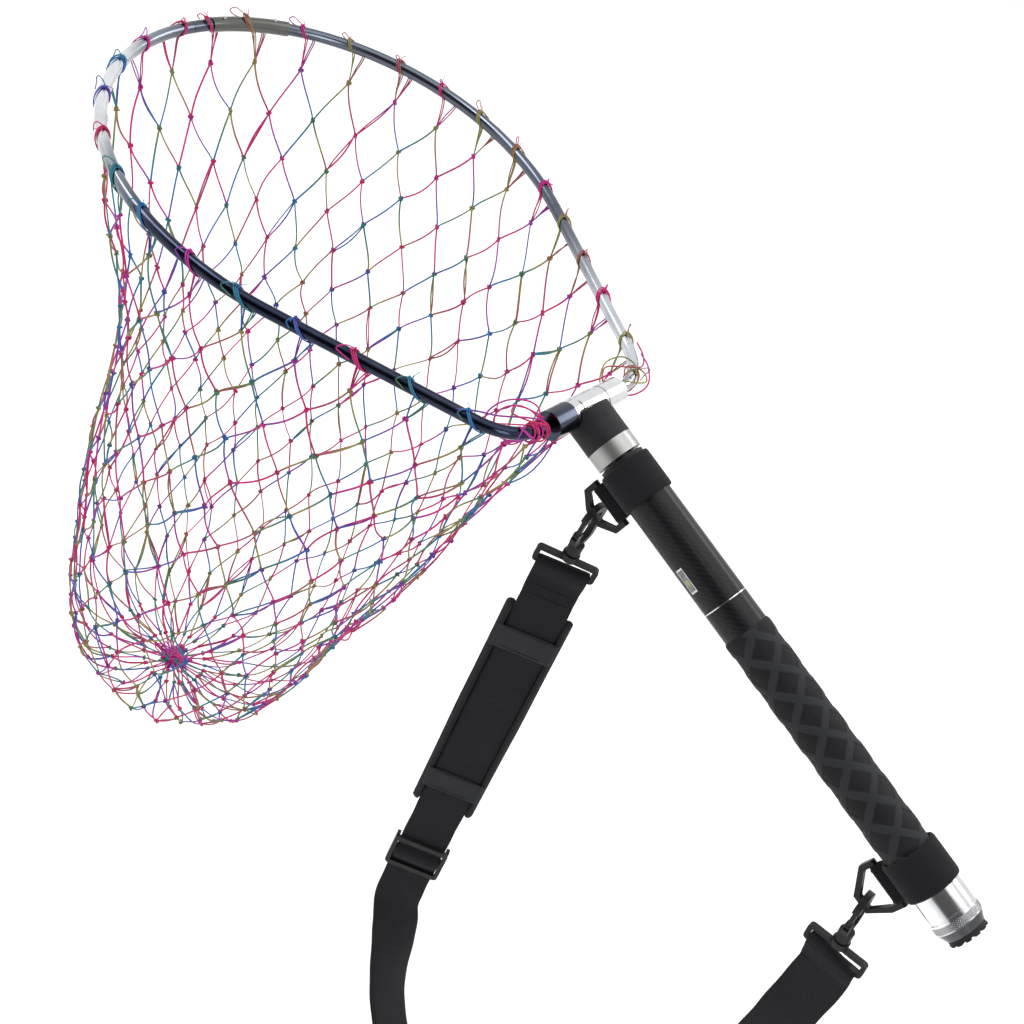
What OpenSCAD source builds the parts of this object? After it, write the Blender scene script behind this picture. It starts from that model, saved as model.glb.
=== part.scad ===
// Folding landing net with a telescopic pole, a knotted bag and a shoulder strap. Millimetres.
// +Z is up, +X runs along the handle to its butt and Y along the folding hinge.
// The origin is the middle of the hand grip, on the pole's axis.

/* [Pole] */
// Angle at which the pole rises from the butt to the hoop
pole_tilt = 12; // [0:1:20]
// Outside diameter of the outer pole section
pole_od = 33; // [32:0.2:36]
// Wall of every pole section
pole_wall = 1.6; // [1.2:0.1:1.8]
// Free gap around each inner pole section
section_gap = 0.6; // [0.4:0.1:0.8]
// Length of the bushes and guides that carry the inner sections
bush_l = 28; // [20:1:30]
// Outside diameter of the grip sleeve
grip_od = 35.2; // [34.6:0.1:36.8]
// Outside diameter of the butt cap
cap_od = 35.4; // [34.8:0.1:36]

/* [Hoop] */
// Diameter of the hoop tube
hoop_tube_d = 9; // [8:0.5:10]
// Half of the hoop's greatest width, to the tube's middle
hoop_half_w = 174; // [165:1:190]
// Half of the straight base of the hoop
hoop_base_half = 44; // [42:1:50]
// Bend radius of the two corners beside the hinge
hoop_corner_r = 48; // [40:1:55]
// Angle between each straight side and the hoop's middle line
hoop_side_angle = 26.5; // [24:0.5:30]
// Bend radius between the straight sides and the round nose
hoop_side_r = 195; // [170:5:220]
// Number of twine loops around the hoop
rim_loops_n = 28; // [24:2:40]

/* [Net bag] */
// Depth of the bag below the hoop
bag_depth = 557; // [500:2:570]
// Radius of the round part of the bag, before its profile narrows it
bag_round_r = 184; // [170:1:190]
// Thickness of the bag's wall
bag_wall = 2; // [0.8:0.1:2]

/* [Shoulder strap] */
// Width of the strap webbing
webbing_w = 40; // [38:0.5:41]
// Thickness of one layer of webbing
webbing_t = 1.8; // [1.6:0.1:2]
// Turn of the upper strap end about its own length
strap_turn = 28; // [0:1:30]
// Width of the belts around the pole
belt_w = 28; // [26:1:28]
// Distance of the D-ring bars below the pole's axis
bar_drop = 30; // [29:0.5:34]
// Length of the shoulder pad
pad_l = 246; // [200:2:250]
// Width of the shoulder pad
pad_w = 53; // [52:0.5:56]

/* [Hidden] */
$fn = 96;

// Stations along the pole's axis, counted from the grip's middle towards the butt
pivot_s = -280;
socket_top_s = -275.5;
ferrule_top_s = -249.7;
collar_top_s = -236.9;
tube_top_s = -228;
belt_upper_s = -218;
line_ring_s = -118;
label_s = -144;
grip_top_s = -95;
belt_lower_s = 96;
pole_end_s = 111;
cap_end_s = 143.5;
plug_end_s = 148;
section_end_s = 92;

pole_r = pole_od / 2;
fit_gap = 0.05;   // radial running clearance of bushes, pins and hinge bars
part_gap = 0.3;   // clearance between faces of different moving bodies
skin = 0.2;       // thickness of the line ring and of the label
ferrule_r = 17;
barrel_r = 10.5;
barrel_half = 17.8;
washer_t = 0.6;
ferrule_half = 39;
axle_r = 4;
screw_r = 3.4;
hoop_r = hoop_tube_d / 2;
hoop_wall = 1;
belt_t = 3;

// Point at station s on the pole's axis, and the direction straight away from its underside
function pole_point(s) = [s * cos(pole_tilt), 0, -s * sin(pole_tilt)];
function pole_below(d) = [-d * sin(pole_tilt), 0, -d * cos(pole_tilt)];
pivot = pole_point(pivot_s);

// Places children on the pole: z runs along it to the butt and x points out of its underside
module on_pole(s = 0) {
    rotate([0, 90 + pole_tilt, 0]) translate([0, 0, s]) children();
}

module tube(r_out, r_in, z0, z1) {
    difference() {
        translate([0, 0, z0]) cylinder(r = r_out, h = z1 - z0);
        translate([0, 0, z0 - 1]) cylinder(r = r_in, h = z1 - z0 + 2);
    }
}

// ---- Pole sections ----

// Radii of section n: 1 is the outer section, 4 the innermost
function section_r(n) = pole_r - (n - 1) * (pole_wall + section_gap);
function section_bore_r(n) = section_r(n) - pole_wall;
function section_top_s(n) = collar_top_s + 0.4 * (4 - n);
function section_foot_s(n) = section_end_s - 3 * (n - 2);

module outer_tube() {
    color([0.09, 0.09, 0.10]) on_pole() tube(section_r(1), section_bore_r(1), tube_top_s, pole_end_s);
}

module top_collar() {
    color([0.10, 0.10, 0.11]) on_pole() {
        tube(pole_r, section_r(2) + fit_gap, collar_top_s + 1.6, tube_top_s);
        tube(section_bore_r(1) - 0.01, section_r(2) + fit_gap, tube_top_s, tube_top_s + bush_l);
    }
}

module line_ring() {
    color([0.80, 0.81, 0.82]) on_pole() tube(pole_r + skin, pole_r, line_ring_s - 0.35, line_ring_s + 0.35);
}

// Small blank label that follows the tube's wall
label_l = 19;
label_sweep = 22;
label_turn = -81;
module info_label() {
    color([0.75, 0.76, 0.76]) on_pole() rotate([0, 0, label_turn - label_sweep / 2])
        rotate_extrude(angle = label_sweep) translate([pole_r, label_s - label_l / 2]) square([skin, label_l]);
}

module grip_sleeve() {
    color([0.14, 0.14, 0.15]) on_pole() tube(grip_od / 2, pole_r, grip_top_s, pole_end_s - 0.5);
}

// Webbing belt that wraps the pole and comes together round the D-ring's bar
belt_tip_r = 5;
bar_r = 2.3;
module belt(s, r_in, r_out) {
    spread = acos((r_out - belt_tip_r) / bar_drop);
    tip = [bar_drop + belt_tip_r * cos(spread), belt_tip_r * sin(spread)];
    root = [r_out * cos(spread), r_out * sin(spread)];
    color([0.15, 0.15, 0.16]) on_pole(s - belt_w / 2) difference() {
        union() {
            cylinder(r = r_out, h = belt_w);
            linear_extrude(belt_w) polygon([[0, 0], root, tip, [tip.x, -tip.y], [root.x, -root.y]]);
            translate([bar_drop, 0, 0]) cylinder(r = belt_tip_r, h = belt_w);
        }
        translate([0, 0, -1]) cylinder(r = r_in, h = belt_w + 2);
        translate([bar_drop, 0, -1]) cylinder(r = bar_r + fit_gap, h = belt_w + 2);
    }
}

module belt_upper() {
    belt(belt_upper_s, pole_r + 0.02, pole_r + belt_t);
}

module belt_lower() {
    belt(belt_lower_s, grip_od / 2 + 0.02, grip_od / 2 + belt_t + 1);
}

module inner_tube(n) {
    on_pole() tube(section_r(n), section_bore_r(n), section_top_s(n), section_foot_s(n));
}

// Bush on the foot of section n: it slides in the bore of the section around it
module foot_bush(n) {
    on_pole() tube(section_bore_r(n - 1) - fit_gap, section_r(n), section_foot_s(n) - bush_l, section_foot_s(n));
}

// Guide in the tip of section n: the next section slides through it
module tip_guide(n) {
    on_pole() tube(section_bore_r(n), section_r(n + 1) + fit_gap, section_top_s(n), section_top_s(n) + bush_l);
}

module section_2_tube() { color([0.10, 0.10, 0.11]) inner_tube(2); }
module section_2_bush() { color([0.30, 0.30, 0.31]) foot_bush(2); }
module section_2_guide() { color([0.30, 0.30, 0.31]) tip_guide(2); }
module section_3_tube() { color([0.11, 0.11, 0.12]) inner_tube(3); }
module section_3_bush() { color([0.30, 0.30, 0.31]) foot_bush(3); }
module section_3_guide() { color([0.30, 0.30, 0.31]) tip_guide(3); }
module section_4_tube() { color([0.12, 0.12, 0.13]) inner_tube(4); }
module section_4_bush() { color([0.30, 0.30, 0.31]) foot_bush(4); }

// ---- Butt cap ----

insert_r = 9;
module butt_insert() {
    color([0.20, 0.20, 0.21]) on_pole() difference() {
        tube(section_bore_r(1), insert_r + fit_gap, pole_end_s - 15, pole_end_s);
    }
}

// Turned cap: plain barrel, two fine grooves, knurled band and a chamfered end
cap_r = cap_od / 2;
cap_lip_r = 14.8;
module butt_cap() {
    color([0.80, 0.80, 0.80]) on_pole() rotate_extrude() polygon([
        [0, pole_end_s - 14], [insert_r, pole_end_s - 14], [insert_r, pole_end_s + part_gap],
        [cap_r, pole_end_s + part_gap], [cap_r, 128], [cap_r - 0.5, 128.4], [cap_r - 0.5, 129.2],
        [cap_r, 129.6], [cap_r, 137], [cap_lip_r, cap_end_s], [12, cap_end_s], [12, cap_end_s - 4],
        [0, cap_end_s - 4]]);
}

// Rubber end plug with castellations around its rim
plug_teeth_n = 12;
module cap_plug() {
    color([0.08, 0.08, 0.08]) on_pole() {
        translate([0, 0, cap_end_s - 4]) cylinder(r = 12, h = 4);
        translate([0, 0, cap_end_s]) cylinder(r = 14.2, h = plug_end_s - cap_end_s - 1.2);
        for (i = [0 : plug_teeth_n - 1]) rotate([0, 0, i * 360 / plug_teeth_n])
            translate([10, -2, plug_end_s - 1.3]) cube([4.4, 4, 1.3]);
    }
}

module cap_seal() {
    color([0.05, 0.05, 0.05]) on_pole(pole_end_s - 16.2) rotate_extrude() translate([6, 0]) circle(r = 1.2);
    color([0.05, 0.05, 0.05]) on_pole(pole_end_s - 15.4) cylinder(r = 7, h = 1.4);
}

// ---- Net head on the innermost section ----

stud_r = 5;
module tip_ferrule() {
    color([0.62, 0.62, 0.60]) on_pole() difference() {
        union() {
            translate([0, 0, ferrule_top_s]) cylinder(r = ferrule_r, h = collar_top_s - part_gap - ferrule_top_s);
            translate([0, 0, collar_top_s - part_gap]) cylinder(r = section_bore_r(4), h = 30);
        }
        translate([0, 0, ferrule_top_s - 1]) cylinder(r = stud_r, h = 60);
    }
}

module head_stud() {
    color([0.55, 0.55, 0.56]) on_pole() translate([0, 0, socket_top_s + 14]) cylinder(r = stud_r, h = 46);
}

module head_socket() {
    color([0.16, 0.17, 0.18]) on_pole() difference() {
        translate([0, 0, socket_top_s]) cylinder(r = ferrule_r + 0.1, h = ferrule_top_s - socket_top_s);
        translate([0, 0, pivot_s]) rotate([90, 0, 0]) cylinder(r = barrel_r, h = 60, center = true);
        translate([0, 0, socket_top_s + 14]) cylinder(r = stud_r, h = 40);
    }
}

// Places children on the hinge line: z runs along the hinge, towards the far side
module on_pivot() {
    translate(pivot) rotate([-90, 0, 0]) children();
}

module pivot_barrel() {
    color([0.80, 0.81, 0.83]) on_pivot() difference() {
        rotate_extrude() polygon([[axle_r, -barrel_half], [barrel_r - 0.6, -barrel_half],
            [barrel_r - 0.6, -barrel_half + 7.5], [barrel_r, -barrel_half + 8],
            [barrel_r, barrel_half - 8], [barrel_r - 0.6, barrel_half - 7.5],
            [barrel_r - 0.6, barrel_half], [axle_r, barrel_half]]);
        rotate([0, 0, -60]) translate([barrel_r - 1.2, -0.4, -7]) cube([3, 0.8, 14]);
    }
}

module pivot_axle() {
    color([0.50, 0.50, 0.51]) on_pivot() cylinder(r = axle_r, h = 2 * (ferrule_half - 14), center = true);
}

module pivot_washers() {
    color([0.88, 0.87, 0.82]) on_pivot() for (side = [-1, 1])
        translate([0, 0, side * (barrel_half + washer_t / 2)]) difference() {
            cylinder(r = barrel_r - 0.8, h = washer_t, center = true);
            cylinder(r = axle_r, h = 2, center = true);
        }
}

// ---- Hoop ----

// Lengths of the parts of half of the hoop's outline, from the middle of its base to its nose
corner_len = hoop_corner_r * (90 - hoop_side_angle) * PI / 180;
side_rise = hoop_half_w - hoop_base_half - hoop_corner_r * cos(hoop_side_angle)
    - hoop_side_r * (1 - cos(hoop_side_angle));
side_len = side_rise / sin(hoop_side_angle);
bend_len = hoop_side_r * hoop_side_angle * PI / 180;
nose_len = hoop_half_w * PI / 2;
corner_end = [hoop_corner_r * (1 - sin(hoop_side_angle)), hoop_base_half + hoop_corner_r * cos(hoop_side_angle)];
side_end = corner_end + side_len * [cos(hoop_side_angle), sin(hoop_side_angle)];
nose_x = side_end.x + hoop_side_r * sin(hoop_side_angle);
hoop_l = nose_x + hoop_half_w;
half_len = hoop_base_half + corner_len + side_len + bend_len + nose_len;

// Point and heading at distance u along half of the outline: [forward, sideways, heading]
function hoop_at(u) =
    u < hoop_base_half ? [0, u, 90] :
    u < hoop_base_half + corner_len ?
        let (a = 90 - (u - hoop_base_half) / hoop_corner_r * 180 / PI)
        [hoop_corner_r * (1 - sin(a)), hoop_base_half + hoop_corner_r * cos(a), a] :
    u < hoop_base_half + corner_len + side_len ?
        let (v = u - hoop_base_half - corner_len)
        [corner_end.x + v * cos(hoop_side_angle), corner_end.y + v * sin(hoop_side_angle), hoop_side_angle] :
    u < half_len - nose_len ?
        let (a = (half_len - nose_len - u) / hoop_side_r * 180 / PI)
        [nose_x - hoop_side_r * sin(a), hoop_half_w - hoop_side_r * (1 - cos(a)), a] :
    let (a = min(90, (u - half_len + nose_len) / hoop_half_w * 180 / PI))
    [nose_x + hoop_half_w * sin(a), hoop_half_w * cos(a), -a];

// Places children in the hoop's plane: x runs from the hinge to the nose and y across
module on_hoop() {
    translate(pivot) mirror([1, 0, 0]) children();
}

// A bend of the tube: radius r around centre c, from angle a0 on through turn degrees
module bend(c, r, a0, turn, tube_r) {
    slack = joint_slack / r * 180 / PI;
    translate([c.x, c.y, 0]) rotate([0, 0, a0 + slack]) rotate_extrude(angle = turn - 2 * slack)
        translate([r, 0]) circle(r = tube_r);
}

module straight(p, q, tube_r) {
    d = q - p;
    translate([p.x, p.y, 0]) rotate([0, 0, atan2(d.y, d.x)]) rotate([0, 90, 0])
        translate([0, 0, joint_slack]) cylinder(r = tube_r, h = norm(d) - 2 * joint_slack);
}

// Slight swage where a straight run meets a bend
joint_slack = 0.2;
swage_l = 1.6;
swage_rise = 0.12;
module swage(p, heading, tube_r) {
    translate([p.x, p.y, 0]) rotate([0, 0, heading]) rotate([0, 90, 0])
        cylinder(r = tube_r, h = swage_l, center = true);
}

// Solid bar along half of the hoop, on the +y side
tube_start = ferrule_half - 12;
module half_hoop(tube_r, swage_r) {
    straight([0, tube_start], [0, hoop_base_half], tube_r);
    swage([0, hoop_base_half], 90, swage_r);
    bend([hoop_corner_r, hoop_base_half], hoop_corner_r, 90 + hoop_side_angle, 90 - hoop_side_angle, tube_r);
    swage(corner_end, hoop_side_angle, swage_r);
    straight(corner_end, side_end, tube_r);
    swage(side_end, hoop_side_angle, swage_r);
    bend([nose_x, hoop_half_w - hoop_side_r], hoop_side_r, 90, hoop_side_angle, tube_r);
    swage([nose_x, hoop_half_w], 0, swage_r);
    bend([nose_x, 0], hoop_half_w, 0, 90, tube_r);
}

module hoop_half_tube(side) {
    color([0.62, 0.66, 0.72]) on_hoop() mirror([0, side < 0 ? 1 : 0, 0]) difference() {
        half_hoop(hoop_r, hoop_r + swage_rise);
        half_hoop(hoop_r - hoop_wall, hoop_r - hoop_wall + swage_rise);
    }
}

module hoop_tube_near() { hoop_half_tube(-1); }
module hoop_tube_far() { hoop_half_tube(1); }

// Ferrule on one end of the hoop: it turns on the axle and holds the tube
module ferrule(side) {
    inner = barrel_half + washer_t + fit_gap;
    color([0.72, 0.74, 0.77]) on_pivot() mirror([0, 0, side < 0 ? 1 : 0]) difference() {
        translate([0, 0, inner]) cylinder(r = barrel_r, h = ferrule_half - inner);
        translate([0, 0, inner - 1]) cylinder(r = axle_r + fit_gap, h = ferrule_half - 13.9 - inner + 1);
        translate([0, 0, tube_start - 2]) cylinder(r = screw_r, h = 3);
        translate([0, 0, tube_start]) cylinder(r = hoop_r, h = 20);
    }
}

module ferrule_near() { ferrule(-1); }
module ferrule_far() { ferrule(1); }

module axle_screws() {
    color([0.45, 0.45, 0.46]) on_pivot() for (side = [-1, 1])
        translate([0, 0, side * (tube_start - 0.9)]) cylinder(r = screw_r, h = 1.6, center = true);
}

// Sleeve that joins the two tube ends at the nose, a little to the far side
sleeve_a0 = 6;
sleeve_turn = 22;
module nose_sleeve() {
    color([0.70, 0.73, 0.78]) on_hoop() translate([nose_x, 0, 0]) difference() {
        rotate([0, 0, sleeve_a0]) rotate_extrude(angle = sleeve_turn)
            translate([hoop_half_w, 0]) circle(r = hoop_r + 1.1);
        rotate([0, 0, sleeve_a0 - 1]) rotate_extrude(angle = sleeve_turn + 2)
            translate([hoop_half_w, 0]) circle(r = hoop_r);
    }
}

module sleeve_rivets() {
    color([0.52, 0.53, 0.55]) on_hoop() translate([nose_x, 0, 0]) for (a = [3.6, 18])
        rotate([0, 0, sleeve_a0 + a]) difference() {
            translate([hoop_half_w, 0, hoop_r]) cylinder(r = 1.6, h = 1.9);
            rotate([0, 0, -2]) rotate_extrude(angle = 4) translate([hoop_half_w, 0])
                circle(r = hoop_r + 1.1);
        }
}

// ---- Net bag ----

loop_wire_r = 0.7;
loop_r = hoop_r + loop_wire_r + 0.3;
loops_start = hoop_base_half + 12;

module rim_loops() {
    per_side = rim_loops_n / 2;
    step = (half_len - loops_start - 8) / (per_side - 1);
    color([0.75, 0.20, 0.45]) on_hoop() for (side = [-1, 1], i = [0 : per_side - 1]) {
        h = hoop_at(loops_start + i * step);
        turn = atan2(h.y, h.x - nose_x);
        on_sleeve = side > 0 && turn > sleeve_a0 - 1 && turn < sleeve_a0 + sleeve_turn + 1;
        translate([h.x, side * h.y, 0]) rotate([0, 0, side * h.z]) rotate([0, 90, 0])
            rotate_extrude($fn = 48) translate([loop_r + (on_sleeve ? 1.2 : 0), 0])
                circle(r = loop_wire_r, $fn = 16);
    }
}

// How much of the full outline is left at each fraction of the depth
bag_profile = [[0, 1], [0.1, 0.955], [0.2, 0.87], [0.3, 0.82], [0.45, 0.785], [0.6, 0.735], [0.75, 0.69],
    [0.87, 0.625], [0.94, 0.545], [0.98, 0.39], [1, 0.06]];
bag_centre_x = 210;
bag_edge_x = 14;
bag_top = 7.4;
bag_dip = 24;
bag_rows = 20;
bag_cols = 52;

function smooth(t) = let (s = min(1, max(0, t))) s * s * (3 - 2 * s);
function bag_t(i) = let (f = i / bag_rows) f + 0.12 * sin(180 * f) * f;

// Outline of the bag's rim at column j, seen from its centre
function rim_xy(j) =
    let (f = 2 * j / bag_cols, side = f < 1 ? 1 : -1, u = (f < 1 ? f : 2 - f) * half_len, h = hoop_at(u))
    [max(h.x, bag_edge_x) - bag_centre_x, side * h.y];
function rim_dip(j) = let (y = abs(rim_xy(j).y), x = rim_xy(j).x)
    x < 0 && y < hoop_base_half ? bag_dip * cos(90 * y / hoop_base_half) : 0;

// The bag swells towards the hinge and is pinched on the nose's side; c is the cosine towards the hinge
function bag_swell(t, c) = c > 0
    ? 0.13 * sin(180 * min(1, t / 0.68)) * pow(c, 1.6)
    : -0.07 * sin(180 * min(1, t / 0.5)) * c * c;

// Point of the bag's wall: t is the fraction of the depth, inset how far it lies inside
function bag_point(t, j, inset) =
    let (p = rim_xy(j), m = smooth(t / 0.35), q = bag_round_r * p / norm(p),
         k = lookup(t, bag_profile) + bag_swell(t, -p.x / norm(p)) - inset / bag_round_r, r = k * ((1 - m) * p + m * q))
    [bag_centre_x + r.x, r.y, -bag_top - rim_dip(j) * (1 - t) - t * (bag_depth - bag_top - inset)];

// Wall of the bag from row a to row b, with a closed foot when it ends at the last row
module bag_part(a, b) {
    foot = b == bag_rows;
    outer = [for (i = [a : b], j = [0 : bag_cols - 1]) bag_point(bag_t(i), j, 0)];
    inner = [for (i = [a : b], j = [0 : bag_cols - 1]) bag_point(bag_t(i), j, bag_wall)];
    size = (b - a + 1) * bag_cols;
    middle = foot ? [[bag_centre_x, 0, -bag_depth - 0.6], [bag_centre_x, 0, -bag_depth + bag_wall]] : [];
    function at(i, j) = (i - a) * bag_cols + j % bag_cols;
    walls = [for (i = [a : b - 1], j = [0 : bag_cols - 1]) each [
        [at(i, j), at(i, j + 1), at(i + 1, j)], [at(i, j + 1), at(i + 1, j + 1), at(i + 1, j)],
        [size + at(i, j), size + at(i + 1, j), size + at(i, j + 1)],
        [size + at(i, j + 1), size + at(i + 1, j), size + at(i + 1, j + 1)]]];
    top = [for (j = [0 : bag_cols - 1]) each [
        [at(a, j), size + at(a, j), at(a, j + 1)], [at(a, j + 1), size + at(a, j), size + at(a, j + 1)]]];
    low = [for (j = [0 : bag_cols - 1]) each foot
        ? [[at(b, j), at(b, j + 1), 2 * size], [size + at(b, j), 2 * size + 1, size + at(b, j + 1)]]
        : [[at(b, j), at(b, j + 1), size + at(b, j)],
           [at(b, j + 1), size + at(b, j + 1), size + at(b, j)]]];
    color([0.75, 0.35, 0.60, 0.5]) on_hoop()
        polyhedron(concat(outer, inner, middle), concat(walls, top, low), convexity = 6);
}

module net_bag_rim() { bag_part(0, 2); }
module net_bag_mouth() { bag_part(2, 4); }
module net_bag_upper() { bag_part(4, 8); }
module net_bag_middle() { bag_part(8, 12); }
module net_bag_lower() { bag_part(12, 16); }
module net_bag_foot() { bag_part(16, 18); }
module net_bag_tip() { bag_part(18, bag_rows); }

knot_r = 6;
module gather_knot() {
    color([0.10, 0.55, 0.60]) on_hoop() translate([bag_centre_x, 0, -bag_depth - 0.8 - knot_r])
        sphere(r = knot_r, $fn = 32);
}

// ---- Strap hardware ----

// D-ring: round bar in the belt, two legs and slanted shoulders to the outer bar
ring_t = 4.4;
ring_half = belt_w / 2 + 0.4 + ring_t;
ring_leg = 11;
ring_drop_upper = 21;
ring_drop_lower = 31;
lower_ring_shift = 5;
module d_ring(s, ring_drop, shift) {
    outer = [[0, -ring_half], [ring_leg, -ring_half], [ring_drop, shift - 7], [ring_drop, shift + 7],
        [ring_leg, ring_half], [0, ring_half]];
    inner_half = ring_half - ring_t;
    inner = [[-9, -inner_half], [ring_leg - 1, -inner_half], [ring_drop - ring_t, shift - 5],
        [ring_drop - ring_t, shift + 5], [ring_leg - 1, inner_half], [-9, inner_half]];
    color([0.12, 0.12, 0.13]) on_pole(s) translate([bar_drop, 0, 0]) {
        rotate([90, 0, 0]) linear_extrude(ring_t, center = true) difference() {
            polygon(outer);
            polygon(inner);
        }
        cylinder(r = bar_r, h = 2 * ring_half, center = true);
    }
}

module d_ring_upper() { d_ring(belt_upper_s, ring_drop_upper, 0); }
module d_ring_lower() { d_ring(belt_lower_s, ring_drop_lower, lower_ring_shift); }

// Frames of the two hooks: origin in the hook's eye, -z down the hook, tipped by lean about Y
eye_lift = 2;
upper_hook_s = belt_upper_s - 1;
lower_hook_s = belt_lower_s + 6;
upper_lean = 3;
lower_lean = 12;
upper_turn = strap_turn;
lower_turn = 0;
upper_bar = pole_point(upper_hook_s) + pole_below(bar_drop + ring_drop_upper - ring_t / 2);
lower_bar = pole_point(lower_hook_s) + pole_below(bar_drop + ring_drop_lower - ring_t / 2);
module at_hook(bar, lean) {
    translate(bar) rotate([0, -lean, 0]) translate([0, 0, -eye_lift]) children();
}

// Direction down a hook, and the middle of the lower bar of its strap ring
function hook_down(lean) = [sin(lean), 0, -cos(lean)];
function ring_bar(bar, lean) = bar + (eye_lift - frame_top + frame_h - frame_bar / 2) * hook_down(lean);

hook_t = 5;
hook_r = 11.5;
eye_r = 6.5;
hook_l = 18;
gate_x = -9;
gate_foot = -15.5;
gate_slot = 3.8;
pin_r = 1.3;
boss_top = -29;
boss_end = -37;

// Rectangle with rounded corners, about its middle
module rounded(w, h, r) {
    square([w - 2 * r, h], center = true);
    square([w, h - 2 * r], center = true);
    for (x = [-1, 1], y = [-1, 1]) translate([x * (w / 2 - r), y * (h / 2 - r)]) circle(r = r, $fn = 32);
}

module slab(t) {
    rotate([90, 0, 90]) linear_extrude(t, center = true) children();
}

module hook(bar, lean) {
    color([0.13, 0.13, 0.14]) at_hook(bar, lean) difference() {
        union() {
            slab(hook_t) {
                circle(r = hook_r);
                translate([-hook_r, -hook_l]) square([2 * hook_r, hook_l]);
                translate([0, -hook_l]) circle(r = hook_r);
            }
            translate([0, 0, boss_end]) cylinder(r = 5.6, h = boss_top - boss_end + 1);
        }
        slab(hook_t + 2) {
            circle(r = eye_r);
            translate([-eye_r, -hook_l]) square([2 * eye_r, hook_l]);
            translate([0, -hook_l]) circle(r = eye_r);
            translate([-hook_r - 1, gate_foot + 3]) square([hook_r - eye_r + 2, -gate_foot - 4]);
        }
        slab(gate_slot) translate([-hook_r - 1, gate_foot - 3]) square([hook_r - eye_r + 3, 7]);
        translate([0, gate_x, gate_foot]) rotate([0, 90, 0]) cylinder(r = pin_r, h = 20, center = true);
        translate([0, 0, boss_end - 1]) cylinder(r = 2.5, h = 8);
    }
}

module gate(bar, lean) {
    color([0.16, 0.16, 0.17]) at_hook(bar, lean) difference() {
        slab(gate_slot - 2 * part_gap) {
            translate([gate_x - 1.6, gate_foot]) square([3.2, -gate_foot - 1.4]);
            translate([gate_x, gate_foot]) circle(r = 2.2);
        }
        translate([0, gate_x, gate_foot]) rotate([0, 90, 0]) cylinder(r = pin_r + fit_gap, h = 20, center = true);
    }
}

module gate_pin(bar, lean) {
    color([0.5, 0.5, 0.5]) at_hook(bar, lean) translate([0, gate_x, gate_foot]) rotate([0, 90, 0])
        cylinder(r = pin_r, h = hook_t - 0.4, center = true);
}

// Swivel rivet between the hook's boss and the strap ring
module swivel(bar, lean) {
    color([0.14, 0.14, 0.15]) at_hook(bar, lean) {
        translate([0, 0, boss_end]) cylinder(r = 2.5, h = 6);
        translate([0, 0, boss_end - 1.2]) cylinder(r = 4.5, h = 1.2);
    }
}

frame_t = 4.4;
frame_bar = 3.6;
frame_w = webbing_w + 1.2 + 2 * frame_bar;
frame_h = 15;
frame_top = boss_end - 1.2 - 4.5;
module strap_ring(bar, lean, turn) {
    color([0.12, 0.12, 0.13]) at_hook(bar, lean) rotate([0, 0, turn]) {
        translate([0, 0, frame_top - 1]) cylinder(r = 6.6, h = 5.5);
        rotate([90, 0, 0]) linear_extrude(frame_t, center = true) difference() {
            translate([0, frame_top - frame_h / 2]) rounded(frame_w, frame_h, 3.4);
            translate([-frame_w / 2 + frame_bar, frame_top - frame_h + frame_bar])
                square([frame_w - 2 * frame_bar, frame_h - 2 * frame_bar]);
        }
    }
}

module hook_upper() { hook(upper_bar, upper_lean); }
module hook_lower() { hook(lower_bar, lower_lean); }
module swivel_upper() { swivel(upper_bar, upper_lean); }
module swivel_lower() { swivel(lower_bar, lower_lean); }
module gate_upper() { gate(upper_bar, upper_lean); }
module gate_lower() { gate(lower_bar, lower_lean); }
module gate_pin_upper() { gate_pin(upper_bar, upper_lean); }
module gate_pin_lower() { gate_pin(lower_bar, lower_lean); }
module strap_ring_upper() { strap_ring(upper_bar, upper_lean, upper_turn); }
module strap_ring_lower() { strap_ring(lower_bar, lower_lean, lower_turn); }

// ---- Webbing ----

// A strip with a w by t section along a route of [x, z, turn] points in the middle plane;
// turn is the direction of the strip's width, counted from +X about +Z
module strip(route, w, t) {
    n = len(route);
    p = [for (q = route) [q.x, 0, q.y]];
    tangent = [for (i = [0 : n - 1]) let (d = p[min(i + 1, n - 1)] - p[max(i - 1, 0)]) d / norm(d)];
    across = [for (i = [0 : n - 1]) let (a = [cos(route[i].z), sin(route[i].z), 0],
        b = a - (a * tangent[i]) * tangent[i]) b / norm(b)];
    through = [for (i = [0 : n - 1]) cross(tangent[i], across[i])];
    points = [for (i = [0 : n - 1], c = [[-1, -1], [1, -1], [1, 1], [-1, 1]])
        p[i] + c.x * w / 2 * across[i] + c.y * t / 2 * through[i]];
    sides = [for (i = [0 : n - 2], k = [0 : 3]) let (a = 4 * i + k, b = 4 * i + (k + 1) % 4) each
        [[a, b, a + 4], [b, b + 4, a + 4]]];
    ends = [[0, 3, 1], [1, 3, 2], [4 * n - 4, 4 * n - 3, 4 * n - 1], [4 * n - 3, 4 * n - 2, 4 * n - 1]];
    polyhedron(points, concat(sides, ends), convexity = 8);
}

// Straight run of the strap from the upper strap ring through the pad to below the slider
run_slope = 6.1;
run_dir = [sin(run_slope), -cos(run_slope)];
upper_ring_bar = ring_bar(upper_bar, upper_lean);
lower_ring_bar = ring_bar(lower_bar, lower_lean);
run_start = [upper_ring_bar.x, upper_ring_bar.z] + (frame_bar / 2 + 0.2) * run_dir;
run_len = 407;
run_end = run_start + run_len * run_dir;
slider_at = 359;
pad_at = 168;

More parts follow.
